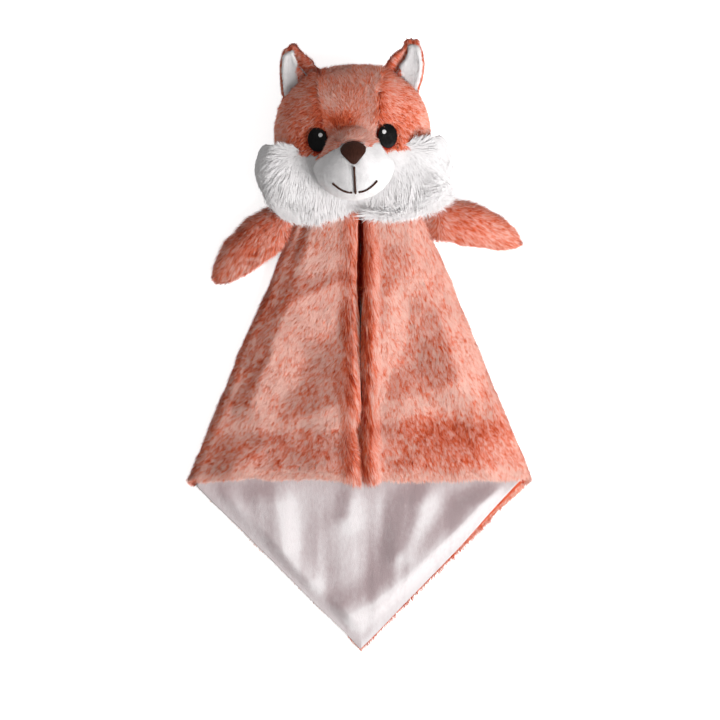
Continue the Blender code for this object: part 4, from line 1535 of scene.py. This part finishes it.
def build_stage():
    set_up = bpy.context.scene.fox_stage
    made = Finish("plain_floor", roughness=0.95)
    made.colour(solid(colours().floor))
    rays = made.add("ShaderNodeLightPath")
    made.shader.inputs["Emission Color"].default_value = (1, 1, 1, 1)
    camera_sees = rays * 0.74
    made.tree.links.new(camera_sees.socket, made.shader.inputs["Emission Strength"])
    bm = bmesh.new()
    bmesh.ops.create_grid(bm, x_segments=1, y_segments=1, size=4)
    stage_object("floor", bm, made.material)
    centre = Vector((set_up.centre_x, set_up.centre_y, 0))
    area_light("key_light", centre + Vector((1.25, -0.66, 1.30)), centre, 1.3, set_up.key)
    area_light("soft_top", centre + Vector((-0.3, 0.4, 2.0)), centre, 1.6, set_up.key * 0.08)
    world = bpy.data.worlds.new("studio")
    world.use_nodes = True
    tree = world.node_tree
    background = tree.nodes["Background"]
    path = tree.nodes.new("ShaderNodeLightPath")
    seen = Term(tree, path.outputs["Is Camera Ray"])
    strength = set_up.fill + seen * (1 - set_up.fill)
    background.inputs["Color"].default_value = (1, 1, 1, 1)
    tree.links.new(strength.socket, background.inputs["Strength"])
    bpy.context.scene.world = world
    data = bpy.data.cameras.new("main_camera")
    data.lens = set_up.lens
    data.sensor_width = 36
    data.sensor_fit = "HORIZONTAL"
    distance = set_up.view_width * set_up.lens / data.sensor_width
    data.clip_end = 4 * distance
    camera = bpy.data.objects.new("main_camera", data)
    camera.location = centre + Vector((0, 0, distance))
    bpy.context.scene.collection.objects.link(camera)
    bpy.context.scene.camera = camera
    bpy.context.scene.view_settings.view_transform = "Standard"


# Operators


def operator(name, label, description, work):
    """An operator class for one group of pieces."""
    def execute(self, context):
        work()
        return {"FINISHED"}
    return type(
        "FOX_OT_" + name, (Operator,),
        {"bl_idname": "fox_blanket." + name, "bl_label": label, "__doc__": description, "execute": execute},
    )


def both_sides(work):
    def run():
        for side, word in ((-1, "left"), (1, "right")):
            work(side, word)
    return run


operators = (
    operator("back", "Back", "Lays the plush back with its pile", build_back),
    operator("back_lining", "Lining", "Lays the velour lining on the back", build_back_lining),
    operator(
        "front_lining", "Front lining", "Lays the lining of both front corners",
        both_sides(build_front_lining),
    ),
    operator("front", "Front", "Lays both plush fronts with their pile", both_sides(build_front)),
    operator("filling", "Filling", "Fills the head, the snout and the arms", build_filling),
    operator("head", "Head", "Dresses the orange panels of the head", build_head_panels),
    operator("ruffs", "Cheeks", "Grows the long white pile of the cheeks", build_ruffs),
    operator("snout", "Snout", "Dresses the snout", build_snout),
    operator("embroidery", "Embroidery", "Stitches the eyes, the nose and the mouth", build_embroidery),
    operator("ears", "Ears", "Dresses both layers of the ears", build_ears),
    operator("arms", "Arms", "Dresses both arms", build_arms),
    operator("stage", "Stage", "Sets the floor, the lamps and the camera", build_stage),
)


class FOX_PT_panel(Panel):
    """Lists the steps that dress the blanket"""
    bl_label = "Fox blanket"
    bl_space_type = "VIEW_3D"
    bl_region_type = "UI"
    bl_category = "Fox blanket"

    def draw(self, context):
        for step in operators:
            self.layout.operator(step.bl_idname)


settings = (
    ("fox_cloth", ClothSettings), ("fox_pile", PileSettings), ("fox_colours", ColourSettings),
    ("fox_stage", StageSettings),
)


def register():
    for name, group in settings:
        bpy.utils.register_class(group)
        setattr(bpy.types.Scene, name, PointerProperty(type=group))
    for item in (*operators, FOX_PT_panel):
        bpy.utils.register_class(item)


def unregister():
    for item in reversed((*operators, FOX_PT_panel)):
        bpy.utils.unregister_class(item)
    for name, group in reversed(settings):
        delattr(bpy.types.Scene, name)
        bpy.utils.unregister_class(group)


def main():
    register()
    for step in operators:
        group, name = step.bl_idname.split(".")
        getattr(getattr(bpy.ops, group), name)()


if __name__ == "__main__":
    main()
